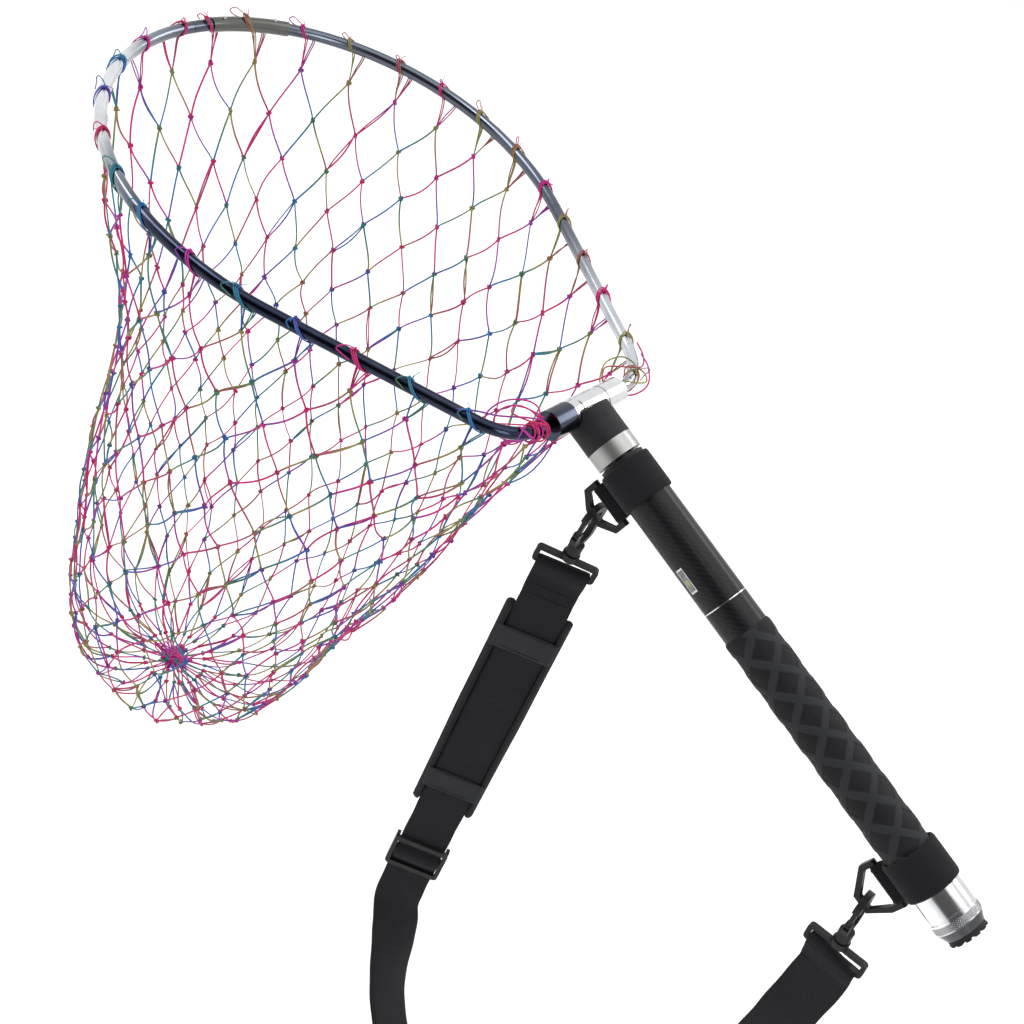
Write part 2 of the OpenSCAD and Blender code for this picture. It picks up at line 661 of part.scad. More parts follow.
// Route of the doubled webbing from the slider round the bottom and up to the lower strap ring
loop_route = [
    [-174, -486, 34], [-164, -508, 44], [-154, -532, 56], [-144, -557, 68], [-133, -583, 79],
    [-119, -609, 87], [-102, -634, 90], [-80, -657, 90], [-53, -674, 90], [-22, -683, 90],
    [10, -681, 90], [39, -669, 90], [63, -648, 90], [81, -619, 86], [93, -582, 78], [101, -540, 66],
    [106, -494, 53], [110, -446, 40], [113, -398, 28], [115, -350, 18], [115, -302, 11],
    [113, -254, 7], [109, -208, 6]];

module webbing_upper() {
    color([0.16, 0.16, 0.17]) strip([
        [run_start.x + 1.4 * run_dir.x, run_start.y + 1.4 * run_dir.y, strap_turn],
        [run_end.x, run_end.y, strap_turn]], webbing_w, webbing_t);
}

doubled_t = 2 * webbing_t + 0.4;
module webbing_loop() {
    start = [for (d = [1.2, 8]) [run_end.x + d * run_dir.x, run_end.y + d * run_dir.y, strap_turn]];
    down = hook_down(lower_lean);
    end = [for (d = [24, 2.6]) [lower_ring_bar.x + d * down.x, lower_ring_bar.z + d * down.z, lower_turn]];
    color([0.15, 0.15, 0.16]) strip(concat(start, loop_route, end), webbing_w, doubled_t);
}

// Places children on the straight run: z points back up the strap, x across it, y behind it
module on_run(d) {
    q = run_start + d * run_dir;
    translate([q.x, 0, q.y]) rotate([0, atan2(run_dir.x, run_dir.y) - 180, 0])
        rotate([0, 0, strap_turn]) children();
}

channel = webbing_t / 2 + 0.4;
pad_t = 5;
rail_w = (pad_w - webbing_w - 1.2) / 2;
module pad_body() {
    color([0.15, 0.15, 0.16]) on_run(pad_at) {
        translate([-pad_w / 2, channel, -pad_l / 2]) cube([pad_w, pad_t, pad_l]);
        for (side = [-1, 1]) translate([side * (pad_w - rail_w) / 2 - rail_w / 2, -channel, -pad_l / 2])
            cube([rail_w, 2 * channel, pad_l]);
    }
}

band_h = 22;
band_t = 1.4;
band_inset = 24;
module pad_bands() {
    color([0.22, 0.22, 0.23]) on_run(pad_at) for (side = [-1, 1])
        translate([-pad_w / 2, -channel - band_t, side * (pad_l / 2 - band_inset - band_h / 2) - band_h / 2])
            cube([pad_w, band_t, band_h]);
}

// Three-bar slider: the webbing passes behind its middle bar
slider_w = 48;
slider_h = 38;
slider_bar = 5;
slider_t = 3;
module slider_frame() {
    slot_h = (slider_h - 3 * slider_bar) / 2;
    color([0.11, 0.11, 0.12]) on_run(slider_at) translate([0, -channel, 0]) {
        rotate([90, 0, 0]) linear_extrude(slider_t) difference() {
            rounded(slider_w, slider_h, 4);
            for (side = [-1, 1]) translate([0, side * (slot_h + slider_bar) / 2])
                square([webbing_w + 1, slot_h], center = true);
        }
        for (side = [-1, 1]) translate([side * (slider_w - 3) / 2 - 1.5, 0, -slider_h / 2])
            cube([3, 2 * channel + 2, slider_h]);
        translate([-slider_w / 2, 2 * channel, -slider_bar / 2]) cube([slider_w, 2, slider_bar]);
    }
}

outer_tube();
top_collar();
line_ring();
info_label();
grip_sleeve();
belt_upper();
belt_lower();
butt_insert();
section_2_tube();
section_2_bush();
section_2_guide();
section_3_tube();
section_3_bush();
section_3_guide();
section_4_tube();
section_4_bush();
tip_ferrule();
head_stud();
head_socket();
pivot_barrel();
pivot_axle();
pivot_washers();
ferrule_near();
ferrule_far();
axle_screws();
hoop_tube_near();
hoop_tube_far();
nose_sleeve();
sleeve_rivets();
rim_loops();
net_bag_rim();
net_bag_mouth();
net_bag_upper();
net_bag_middle();
net_bag_lower();
net_bag_foot();
net_bag_tip();
gather_knot();
d_ring_upper();
d_ring_lower();
hook_upper();
hook_lower();
swivel_upper();
swivel_lower();
gate_pin_upper();
gate_pin_lower();
strap_ring_upper();
strap_ring_lower();
webbing_upper();
webbing_loop();
gate_upper();
gate_lower();
pad_body();
pad_bands();
slider_frame();
butt_cap();
cap_plug();
cap_seal();
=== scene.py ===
import math

import bmesh
import bpy
import numpy as np
from mathutils import Matrix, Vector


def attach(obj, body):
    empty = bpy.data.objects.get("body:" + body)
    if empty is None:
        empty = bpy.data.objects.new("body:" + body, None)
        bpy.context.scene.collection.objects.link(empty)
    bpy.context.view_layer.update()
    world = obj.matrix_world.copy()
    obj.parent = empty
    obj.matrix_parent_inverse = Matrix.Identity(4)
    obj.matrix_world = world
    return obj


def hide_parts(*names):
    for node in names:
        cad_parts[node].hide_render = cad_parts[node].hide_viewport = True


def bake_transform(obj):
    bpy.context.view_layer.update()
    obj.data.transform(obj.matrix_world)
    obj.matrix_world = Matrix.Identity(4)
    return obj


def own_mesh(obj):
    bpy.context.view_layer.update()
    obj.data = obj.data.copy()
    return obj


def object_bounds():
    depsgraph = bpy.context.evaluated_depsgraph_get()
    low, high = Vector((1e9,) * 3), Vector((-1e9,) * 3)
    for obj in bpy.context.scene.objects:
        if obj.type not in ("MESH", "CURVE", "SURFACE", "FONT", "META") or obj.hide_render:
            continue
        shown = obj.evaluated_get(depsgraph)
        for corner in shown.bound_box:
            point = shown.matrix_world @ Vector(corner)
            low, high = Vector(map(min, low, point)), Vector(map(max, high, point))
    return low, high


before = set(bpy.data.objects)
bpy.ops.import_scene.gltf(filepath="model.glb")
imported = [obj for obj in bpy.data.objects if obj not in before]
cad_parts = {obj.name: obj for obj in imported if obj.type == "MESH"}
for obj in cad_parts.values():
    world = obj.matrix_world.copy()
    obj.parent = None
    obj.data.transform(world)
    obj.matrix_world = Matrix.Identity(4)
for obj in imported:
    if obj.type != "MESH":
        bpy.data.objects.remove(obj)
CAD_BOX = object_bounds()
RNG = np.random.default_rng(7)
MM = 0.001
TAU = 2 * math.pi

# ---------------------------------------------------------------- frames (metres)

TILT = math.radians(12)
E_S = np.array([math.cos(TILT), 0, -math.sin(TILT)])  # along the pole, to the butt
E_B = np.array([-math.sin(TILT), 0, -math.cos(TILT)])  # out of the pole's underside
E_Y = np.array([0.0, 1.0, 0.0])


def pole_point(s, below=0.0, y=0.0):
    """A point of the pole's frame, all in millimetres."""
    return (s * E_S + below * E_B + y * E_Y) * MM


def unit(v):
    return v / np.linalg.norm(v)


# ---------------------------------------------------------------- camera

CAM_RIGHT = np.array([0.6803, 0.6134, 0.4013])
CAM_UP = np.array([-0.6892, 0.3488, 0.6351])
CAM_BACK = np.cross(CAM_RIGHT, CAM_UP)
CAM_PLACE = np.array([0.0129, -0.8231, 0.7106])
camera_data = bpy.data.cameras.new("camera")
camera_data.sensor_width = 36
camera_data.lens = 56.25
camera_data.clip_start = 0.01
camera = bpy.data.objects.new("camera", camera_data)
bpy.context.scene.collection.objects.link(camera)
view = Matrix.Identity(4)
for row in range(3):
    view[row][0], view[row][1], view[row][2] = CAM_RIGHT[row], CAM_UP[row], CAM_BACK[row]
    view[row][3] = CAM_PLACE[row]
camera.matrix_world = view
bpy.context.scene.camera = camera

# ---------------------------------------------------------------- mesh helpers


class Batch:
    """Collects parts of one mesh: vertices, faces, UVs in metres and a float attribute."""

    def __init__(self):
        self.v, self.f, self.uv, self.a = [], [], [], []
        self.n = 0

    def grid(self, p, uv=None, attr=None, close_u=False, close_v=False, caps=False):
        """p is (rows, cols, 3); faces join neighbours. close_v joins the last column to the first."""
        rows, cols = p.shape[:2]
        at = self.n + np.arange(rows * cols).reshape(rows, cols)
        i = np.arange(rows if close_u else rows - 1)
        j = np.arange(cols if close_v else cols - 1)
        ii, jj = np.meshgrid(i, j, indexing="ij")
        i2, j2 = (ii + 1) % rows, (jj + 1) % cols
        quads = np.stack([at[ii, jj], at[ii, j2], at[i2, j2], at[i2, jj]], -1).reshape(-1, 4)
        self.f.extend(quads.tolist())
        if caps:
            self.f.append(at[0, ::-1].tolist())
            self.f.append(at[-1].tolist())
        self.v.append(p.reshape(-1, 3))
        if uv is None:
            uv = np.zeros((rows, cols, 2))
        self.uv.append(np.broadcast_to(uv, (rows, cols, 2)).reshape(-1, 2))
        if attr is None:
            attr = 0.0
        self.a.append(np.broadcast_to(attr, (rows, cols)).reshape(-1))
        self.n += rows * cols

    def build(self, name, material, body=None, slot=None, attr_name=None):
        mesh = bpy.data.meshes.new(name)
        verts = np.concatenate(self.v)
        mesh.from_pydata(verts.tolist(), [], self.f)
        mesh.update()
        uv = np.concatenate(self.uv)
        layer = mesh.uv_layers.new(name="UVMap")
        index = np.zeros(len(mesh.loops), np.int32)
        mesh.loops.foreach_get("vertex_index", index)
        layer.data.foreach_set("uv", uv[index].reshape(-1).astype(np.float32))
        if attr_name:
            layer = mesh.attributes.new(attr_name, "FLOAT", "POINT")
            layer.data.foreach_set("value", np.concatenate(self.a).astype(np.float32))
        mesh.polygons.foreach_set("use_smooth", [True] * len(mesh.polygons))
        obj = bpy.data.objects.new(name, mesh)
        bpy.context.scene.collection.objects.link(obj)
        mesh.materials.append(material)
        if body:
            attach(obj, body)
        return obj


def tangents(points, closed=False):
    if closed:
        d = np.roll(points, -1, 0) - np.roll(points, 1, 0)
    else:
        d = np.gradient(points, axis=0)
    return d / np.maximum(np.linalg.norm(d, axis=1, keepdims=True), 1e-12)


def carried(t, start):
    """Normals carried along tangents t without twist."""
    n = [unit(start - (start @ t[0]) * t[0])]
    for k in range(1, len(t)):
        v = n[-1] - (n[-1] @ t[k]) * t[k]
        n.append(unit(v))
    return np.array(n)


def tube(batch, points, radius, sides=6, attr=None, closed=False):
    """A round tube along points."""
    points = np.asarray(points, float)
    t = tangents(points, closed)
    side = np.array([0.3, 0.2, 0.9])
    if abs(t[0] @ side) >= 0.9:
        side = np.array([1.0, 0, 0])
    n = carried(t, side)
    b = np.cross(t, n)
    r = np.broadcast_to(radius, len(points))[:, None, None]
    a = np.arange(sides) * TAU / sides
    ring = np.cos(a)[None, :, None] * n[:, None] + np.sin(a)[None, :, None] * b[:, None]
    p = points[:, None] + r * ring
    u = distances(points)
    uv = np.stack(np.broadcast_arrays(u[:, None], a[None] / TAU * 0.004), -1)
    if attr is not None:
        attr = np.broadcast_to(np.asarray(attr)[:, None], (len(points), sides))
    batch.grid(p, uv, attr, close_u=closed, close_v=True, caps=not closed)


def spline(points, per=8):
    """Catmull-Rom through points (any number of columns)."""
    p = np.asarray(points, float)
    ends = np.vstack([2 * p[0] - p[1], p, 2 * p[-1] - p[-2]])
    out = []
    for k in range(len(p) - 1):
        a, b, c, d = ends[k : k + 4]
        square, cube = 2 * a - 5 * b + 4 * c - d, 3 * b - a - 3 * c + d
        for s in np.arange(per) / per:
            out.append(0.5 * (2 * b + (c - a) * s + square * s * s + cube * s**3))
    out.append(p[-1])
    return np.array(out)


def distances(points):
    """Distance of each point along the line from its first point."""
    return np.concatenate([[0], np.cumsum(np.linalg.norm(np.diff(points, axis=0), axis=1))])


def smooth(v):
    """The smooth step of a share between 0 and 1."""
    return v * v * (3 - 2 * v)


def ribbon(batch, centre, across, width, thick, segs=16, edge=0.3, wave=0.0):
    """A flat webbing: centre line, width direction, rounded edges, UVs (across, along) in metres."""
    t = tangents(centre)
    across = across - (across * t).sum(1, keepdims=True) * t
    across /= np.linalg.norm(across, axis=1, keepdims=True)
    through = np.cross(t, across)
    along = distances(centre)
    x = np.linspace(-1, 1, segs + 1)
    body = np.where(np.abs(x) > 0.94, 1 - edge * (np.abs(x) - 0.94) / 0.06, 1.0)
    profile_x = np.concatenate([x, x[::-1]]) * width / 2
    profile_y = np.concatenate([-body, body[::-1]]) * thick / 2
    wobble = 1 + wave * np.sin(along / 0.0065)[:, None] * (np.abs(profile_x) > 0.46 * width)[None]
    p = (centre[:, None] + (profile_x[None] * wobble)[..., None] * across[:, None]
         + profile_y[None, :, None] * through[:, None])
    uv = np.stack(np.broadcast_arrays(profile_x[None], along[:, None]), -1)
    batch.grid(p, uv, close_v=True, caps=True)


def stitches(batch, line, normal, pitch=3.0 * MM, size=2.1 * MM, r=0.33 * MM, lift=0.1 * MM):
    """A row of thread stitches along a line, lying on the surface with the given normals."""
    line = np.asarray(line, float)
    steps = distances(line)
    normal = np.broadcast_to(np.asarray(normal, float), line.shape)
    k = np.arange(int(steps[-1] / pitch)) * pitch + pitch / 2
    for c in k:
        s = c + np.array([-0.5, -0.3, 0, 0.3, 0.5]) * size
        p = np.stack([np.interp(s, steps, line[:, i]) for i in range(3)], -1)
        n = np.stack([np.interp(s, steps, normal[:, i]) for i in range(3)], -1)
        rise = np.array([-0.6, 0.3, 0.6, 0.3, -0.6]) * r + lift
        tube(batch, p + n * rise[:, None], r, 5)


# ---------------------------------------------------------------- materials


class Shader:
    """A small wrapper for building one material's nodes."""

    def __init__(self, name, rough=0.5, metal=0.0, color=(0.5, 0.5, 0.5), **fixed):
        self.mat = bpy.data.materials.new(name)
        self.mat.use_nodes = True
        self.tree = self.mat.node_tree
        self.bsdf = self.tree.nodes["Principled BSDF"]
        self.put(self.bsdf, {"Base Color": (*color, 1), "Roughness": rough, "Metallic": metal})
        self.put(self.bsdf, {k.replace("_", " "): v for k, v in fixed.items()})

    def put(self, node, ins):
        for key, value in ins.items():
            socket = node.inputs[key]
            if isinstance(value, bpy.types.NodeSocket):
                self.tree.links.new(value, socket)
            elif isinstance(value, tuple) and len(value) == 3 and socket.type == "RGBA":
                socket.default_value = (*value, 1)
            else:
                socket.default_value = value

    def node(self, kind, ins=None, out=0, **props):
        n = self.tree.nodes.new("ShaderNode" + kind)
        for key, value in props.items():
            setattr(n, key, value)
        self.put(n, ins or {})
        return n.outputs[out]

    def math(self, op, a, b=0.0, c=0.0):
        return self.node("Math", {0: a, 1: b, 2: c}, operation=op)

    def coords(self):
        return self.node("TexCoord", out=3)

    def split(self, vector):
        n = self.tree.nodes.new("ShaderNodeSeparateXYZ")
        self.put(n, {0: vector})
        return n.outputs

    def join(self, x=0.0, y=0.0, z=0.0):
        return self.node("CombineXYZ", {0: x, 1: y, 2: z})

    def dot(self, a, b):
        return self.node("VectorMath", {0: a, 1: tuple(float(x) for x in b)}, out=1, operation="DOT_PRODUCT")

    def noise(self, vector, scale, detail=3.0, rough=0.55):
        return self.node("TexNoise", {"Vector": vector, "Scale": scale, "Detail": detail, "Roughness": rough})

    def span(self, value, lo, hi, from_lo=0.0, from_hi=1.0):
        return self.node("MapRange", {0: value, 1: from_lo, 2: from_hi, 3: lo, 4: hi})

    def mix(self, factor, a, b):
        return self.node("Mix", {0: factor, 6: (*a, 1) if isinstance(a, tuple) else a,
                                 7: (*b, 1) if isinstance(b, tuple) else b}, out=2, data_type="RGBA")

    def bump(self, height, strength=0.5, distance=0.0005, normal=None):
        ins = {"Height": height, "Strength": strength, "Distance": distance}
        if normal is not None:
            ins["Normal"] = normal
        return self.node("Bump", ins)

    def done(self, color=None, rough=None, normal=None):
        if color is not None:
            self.put(self.bsdf, {"Base Color": color})
        if rough is not None:
            self.put(self.bsdf, {"Roughness": rough})
        if normal is not None:
            self.put(self.bsdf, {"Normal": normal})
        return self.mat


def pole_uv(s):
    """(distance round the pole, distance along it) in metres, from object coordinates."""
    p = s.coords()
    along, below, y = s.dot(p, E_S), s.dot(p, E_B), s.dot(p, E_Y)
    turn = s.math("ARCTAN2", y, below)
    return s.math("MULTIPLY", turn, 0.0165), along


def moulded(name, color, rough=0.42, grain=900.0):
    """Moulded plastic, rubber or matte coating: fine grain, soft mottling, rubbed patches."""
    s = Shader(name, rough, 0.0, color, Specular_IOR_Level=0.2)
    p = s.coords()
    broad, fine = s.noise(p, 60.0), s.noise(p, grain, 2.0)
    light = tuple(min(1.0, 1.45 * c + 0.006) for c in color)
    tone = s.mix(s.span(broad, 0.0, 0.6, 0.35, 0.75), color, light)
    return s.done(tone, s.span(s.noise(p, 140.0), rough - 0.08, rough + 0.12), s.bump(fine, 0.35, 0.00012))


def turned_metal(name, color, rough, line=2600.0, strength=0.12, dark_from=None):
    """Metal with fine turning lines round the pole or the hinge, dark beyond dark_from along the pole."""
    s = Shader(name, rough, 1.0, color)
    p = s.coords()
    along = s.dot(p, E_S)
    y = s.dot(p, E_Y)
    lines = s.noise(s.join(along, s.math("MULTIPLY", y, 0.02), 0.0), line, 2.0)
    smudge = s.noise(p, 45.0)
    tone = s.mix(s.span(smudge, 0.0, 1.0, 0.35, 0.7), color, tuple(0.86 * c for c in color))
    if dark_from:
        tone = s.mix(s.span(along, 0.0, 1.0, dark_from, dark_from + 0.0008), tone, (0.085, 0.088, 0.095))
    scuff = s.math("ADD", s.span(smudge, rough - 0.03, rough + 0.07), s.span(lines, -0.03, 0.03))
    return s.done(tone, scuff, s.bump(lines, strength, 0.00006))


def woven(name, color, light, rib=0.0021, cord=0.00135, depth=0.0003, cross=0.35):
    """Flat woven webbing from its UVs in metres: cords along it, weaker ribs across, fuzz, and painted shade in
    the grooves of the weave.
    """
    s = Shader(name, 0.8, 0.0, color, Specular_IOR_Level=0.12, Sheen_Weight=0.04, Sheen_Roughness=0.5)
    u, v, _ = s.split(s.node("TexCoord", out=2))
    wobble = s.span(s.noise(s.node("TexCoord", out=2), 260.0), -0.00025, 0.00025)
    row = s.math("DIVIDE", s.math("ADD", v, wobble), rib)
    col = s.math("DIVIDE", s.math("ADD", u, wobble), cord)
    bulge_r = s.math("ABSOLUTE", s.math("SINE", s.math("MULTIPLY", row, math.pi)))
    bulge_c = s.math("POWER", s.math("ABSOLUTE", s.math("SINE", s.math("MULTIPLY", col, math.pi))), 0.6)
    weave = s.math("ADD", s.math("MULTIPLY", bulge_c, 1 - cross), s.math("MULTIPLY", bulge_r, cross))
    fuzz = s.noise(s.coords(), 2200.0, 3.0)
    height = s.math("ADD", weave, s.math("MULTIPLY", fuzz, 0.35))
    patch = s.span(s.noise(s.coords(), 35.0), 0.0, 0.3, 0.4, 0.8)
    # Painted shade: the colour is lighter on the crowns of the weave and darker in its grooves; the random
    # patches are real tone.
    tone = s.mix(s.math("ADD", s.math("MULTIPLY", weave, 0.7), patch), color, light)
    return s.done(tone, s.span(fuzz, 0.7, 0.92), s.bump(height, 0.9, depth))


def carbon(name):
    """Glossy dark twill, whose cells run round and along the pole, with painted highlight streaks along it."""
    s = Shader(name, 0.3, 0.0, (0.01, 0.01, 0.011),
               Specular_IOR_Level=0.16, Coat_Weight=0.12, Coat_Roughness=0.1)
    round_, along = pole_uv(s)
    cell = 0.0011
    a = s.math("FLOOR", s.math("DIVIDE", round_, cell))
    b = s.math("FLOOR", s.math("DIVIDE", along, cell))
    twill = s.math("LESS_THAN", s.math("FLOORED_MODULO", s.math("ADD", a, b), 4.0), 1.5)
    # Painted highlight: lengthwise streaks are painted lighter in the colour; they also vary the roughness.
    highlight_streak = s.noise(s.join(s.math("MULTIPLY", round_, 260.0), s.math("MULTIPLY", along, 6.0), 0.0), 1.0, 4.0)
    tone = s.mix(s.math("MULTIPLY", twill, 0.55), (0.006, 0.0062, 0.007), (0.013, 0.0137, 0.0145))
    tone = s.mix(s.span(highlight_streak, 0.0, 0.5, 0.45, 0.75), tone, (0.022, 0.023, 0.025))
    fine = s.noise(s.coords(), 1500.0, 2.0)
    height = s.math("ADD", twill, fine)
    return s.done(tone, s.span(highlight_streak, 0.26, 0.44, 0.3, 0.7), s.bump(height, 0.12, 0.00008))


def hoop_metal():
    """Polished anodised tube with painted reflections: blue-black on the near side, grey-blue on the far side,
    and painted bright highlights beside the nose and at the far corner."""
    s = Shader("hoop_metal", 0.14, 1.0, (0.3, 0.33, 0.4))
    p = s.coords()
    x, y = s.dot(p, (1, 0, 0)), s.dot(p, E_Y)

    def fade(value, lo, hi):
        return s.node("MapRange", {0: value, 1: lo, 2: hi, 3: 0.0, 4: 1.0}, interpolation_type="SMOOTHSTEP")

    # Painted reflection: the near side is painted blue-black and the far side grey-blue, a lit and a shaded copy
    # of one finish.
    tone = s.mix(fade(y, -0.10, 0.06), (0.022, 0.027, 0.050), (0.115, 0.130, 0.165))
    # Painted highlight: the tube is painted grey and then near-white towards the nose.
    painted_glare_reach = s.dot(p, (-0.74, -0.67, 0))
    tone = s.mix(fade(painted_glare_reach, 0.505, 0.545), tone, (0.27, 0.30, 0.34))
    tone = s.mix(fade(painted_glare_reach, 0.540, 0.556), tone, (0.78, 0.80, 0.83))
    # Painted highlight: the far corner by the hinge is painted silver.
    corner = s.math("MULTIPLY", fade(y, 0.02, 0.06), fade(x, -0.43, -0.31))
    tone = s.mix(corner, tone, (0.62, 0.65, 0.70))
    smudge = s.noise(p, 38.0)
    tone = s.mix(s.span(smudge, 0.0, 0.3, 0.45, 0.8), tone, (0.10, 0.11, 0.14))
    scratch = s.noise(p, 900.0, 2.0)
    return s.done(tone, s.span(smudge, 0.12, 0.24, 0.3, 0.75), s.bump(scratch, 0.05, 0.00005))


TWINE_STOPS = [
    (0.00, (0.62, 0.020, 0.130)), (0.12, (0.66, 0.022, 0.260)), (0.22, (0.36, 0.035, 0.37)),
    (0.31, (0.095, 0.065, 0.40)), (0.40, (0.015, 0.17, 0.48)), (0.49, (0.015, 0.21, 0.23)),
    (0.58, (0.10, 0.22, 0.09)), (0.68, (0.34, 0.32, 0.08)), (0.77, (0.36, 0.14, 0.09)),
    (0.88, (0.46, 0.035, 0.16)), (1.00, (0.62, 0.020, 0.130)),
]


def twine():
    """Space-dyed twisted twine: the colour follows the phase attribute along the yarn."""
    s = Shader("twine", 0.6, 0.0, (0.5, 0.05, 0.2),
               Specular_IOR_Level=0.2, Sheen_Weight=0.05, Sheen_Roughness=0.4)
    phase = s.node("Attribute", attribute_name="phase", out=2)
    p = s.coords()
    phase = s.math("FRACT", s.math("ADD", phase, s.span(s.noise(p, 90.0), -0.05, 0.05)))
    ramp = s.tree.nodes.new("ShaderNodeValToRGB")
    for k, (at, color) in enumerate(TWINE_STOPS):
        e = ramp.color_ramp.elements
        stop = e[k] if k < 1 else (e.new(at) if k < len(TWINE_STOPS) - 1 else e[-1])
        stop.position, stop.color = at, (*color, 1)
    s.put(ramp, {0: phase})
    u, v, _ = s.split(s.node("TexCoord", out=2))
    turns = s.math("ADD", s.math("DIVIDE", u, 0.0016), s.math("DIVIDE", v, 0.002))
    ply = s.math("SINE", s.math("MULTIPLY", turns, TAU))
    dull = s.span(s.math("ADD", ply, s.noise(p, 1800.0)), 0.0, 0.3, -0.5, 1.6)
    tone = s.mix(dull, ramp.outputs[0], (0.10, 0.055, 0.075))
    return s.done(tone, s.span(s.noise(p, 700.0), 0.45, 0.7), s.bump(ply, 0.6, 0.00015))


def grip_rubber():
    """Matte heat-shrink rubber, with the raised ribs of the lattice painted paler as a painted highlight."""
    s = Shader("grip_rubber", 0.62, 0.0, (0.012, 0.012, 0.013), Specular_IOR_Level=0.15)
    rib = s.node("Attribute", attribute_name="rib", out=2)
    p = s.coords()
    # Painted highlight: the raised ribs get a paler colour than the rubber between them.
    tone = s.mix(rib, (0.0085, 0.0087, 0.0098), (0.022, 0.023, 0.026))
    tone = s.mix(s.span(s.noise(p, 70.0), 0.0, 0.35, 0.4, 0.8), tone, (0.020, 0.021, 0.024))
    pebble = s.noise(p, 1500.0, 3.0)
    return s.done(tone, s.span(s.noise(p, 120.0), 0.5, 0.72), s.bump(pebble, 0.6, 0.00014))


def label_film():
    """Blank label: grey field with a pale rim, a soft darker bar and one yellow patch."""
    s = Shader("label_film", 0.3, 0.0, (0.5, 0.5, 0.5), Coat_Weight=0.4, Coat_Roughness=0.15)
    round_, along = pole_uv(s)
    a = s.math("DIVIDE", s.math("ADD", along, 0.144), 0.0095)
    b = s.math("DIVIDE", s.math("ADD", round_, 0.02333), 0.00317)
    edge = s.math("GREATER_THAN", s.math("MAXIMUM", s.math("ABSOLUTE", a), s.math("ABSOLUTE", b)), 0.86)
    place = s.join(s.math("MULTIPLY", s.math("ADD", a, -0.15), 2.0), b, 0.0)
    spot = s.node("VectorMath", {0: place}, out=1, operation="LENGTH")
    blur = s.noise(s.coords(), 700.0, 2.0)
    tone = s.mix(s.span(blur, 0.1, 0.75, 0.35, 0.65), (0.06, 0.065, 0.065), (0.24, 0.25, 0.25))
    yellow = s.span(s.math("ADD", spot, s.math("MULTIPLY", blur, 0.5)), 1.0, 0.0, 0.5, 0.95)
    tone = s.mix(yellow, tone, (0.38, 0.36, 0.045))
    tone = s.mix(edge, tone, (0.62, 0.64, 0.64))
    return s.done(tone, s.span(blur, 0.22, 0.4), s.bump(blur, 0.1, 0.00005))


CARBON = carbon("carbon_gloss")
PLASTIC = moulded("black_plastic", (0.0085, 0.0088, 0.0102), 0.42)
NYLON = moulded("bush_nylon", (0.45, 0.44, 0.40), 0.45)
PLUG = moulded("plug_rubber", (0.012, 0.012, 0.012), 0.6, 1400.0)
SOCKET = moulded("socket_coating", (0.0095, 0.0098, 0.0112), 0.5, 2400.0)
POLISHED = turned_metal("polished_aluminium", (0.80, 0.81, 0.83), 0.10)
BRUSHED = turned_metal("brushed_ring", (0.42, 0.42, 0.41), 0.34, 1800.0, 0.5)
CAP = turned_metal("cap_aluminium", (0.80, 0.81, 0.83), 0.10, dark_from=0.1366)
KNURL = turned_metal("knurled_band", (0.34, 0.34, 0.35), 0.24, 1800.0, 0.5)
SLEEVE = turned_metal("sleeve_metal", (0.135, 0.140, 0.128), 0.2)
STEEL = turned_metal("steel", (0.50, 0.50, 0.51), 0.28)
HOOP = hoop_metal()
TWINE = twine()
WEBBING = woven("webbing", (0.0062, 0.0064, 0.0082), (0.0150, 0.0155, 0.0185))
BELT = woven("belt_webbing", (0.0062, 0.0064, 0.0078), (0.0115, 0.0119, 0.0140), 0.0017, 0.0013, 0.00012)
PAD_EDGE = woven("pad_edge", (0.0120, 0.0125, 0.0150), (0.0215, 0.0220, 0.0260), 0.0009, 0.0009, 0.00010)
PAD_CORE = woven("pad_core", (0.0062, 0.0064, 0.0082), (0.0150, 0.0155, 0.0185), 0.0024, 0.0030, 0.0004)
BAND = woven("pad_band", (0.0190, 0.0200, 0.0235), (0.0290, 0.0300, 0.0350), 0.0008, 0.0008, 0.00008)
THREAD = woven("thread", (0.012, 0.012, 0.014), (0.03, 0.03, 0.034), 0.0006, 0.0006, 0.0001)
GRIP = grip_rubber()
LABEL = label_film()

CAD_LOOKS = (
    (CARBON, "outer_tube section_2_tube section_3_tube section_4_tube"),
    (PLASTIC, "top_collar butt_insert section_2_guide section_3_guide d_ring_upper d_ring_lower hook_upper "
              "hook_lower swivel_upper swivel_lower strap_ring_upper strap_ring_lower gate_upper gate_lower "
              "slider_frame"),
    (NYLON, "section_2_bush section_3_bush section_4_bush pivot_washers"),
    (POLISHED, "line_ring pivot_barrel ferrule_far"),
    (STEEL, "head_stud pivot_axle axle_screws sleeve_rivets gate_pin_upper gate_pin_lower"),
    (HOOP, "ferrule_near hoop_tube_near hoop_tube_far"),
    (PLUG, "cap_plug cap_seal"),
    (LABEL, "info_label"),
    (BRUSHED, "tip_ferrule"),
    (SOCKET, "head_socket"),
    (SLEEVE, "nose_sleeve"),
    (CAP, "butt_cap"),
)
for look, node_names in CAD_LOOKS:
    for node_name in node_names.split():
        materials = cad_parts[node_name].data.materials
        materials.clear()
        materials.append(look)

# ---------------------------------------------------------------- grip with raised lattice


GRIP_START, GRIP_END = -95, 110.3


def round_pole(s, r, a):
    """Points at distances s along the pole, r millimetres from its axis, at angles a."""
    return (s[..., None] * E_S + (r * np.cos(a))[..., None] * E_B + (r * np.sin(a))[..., None] * E_Y) * MM


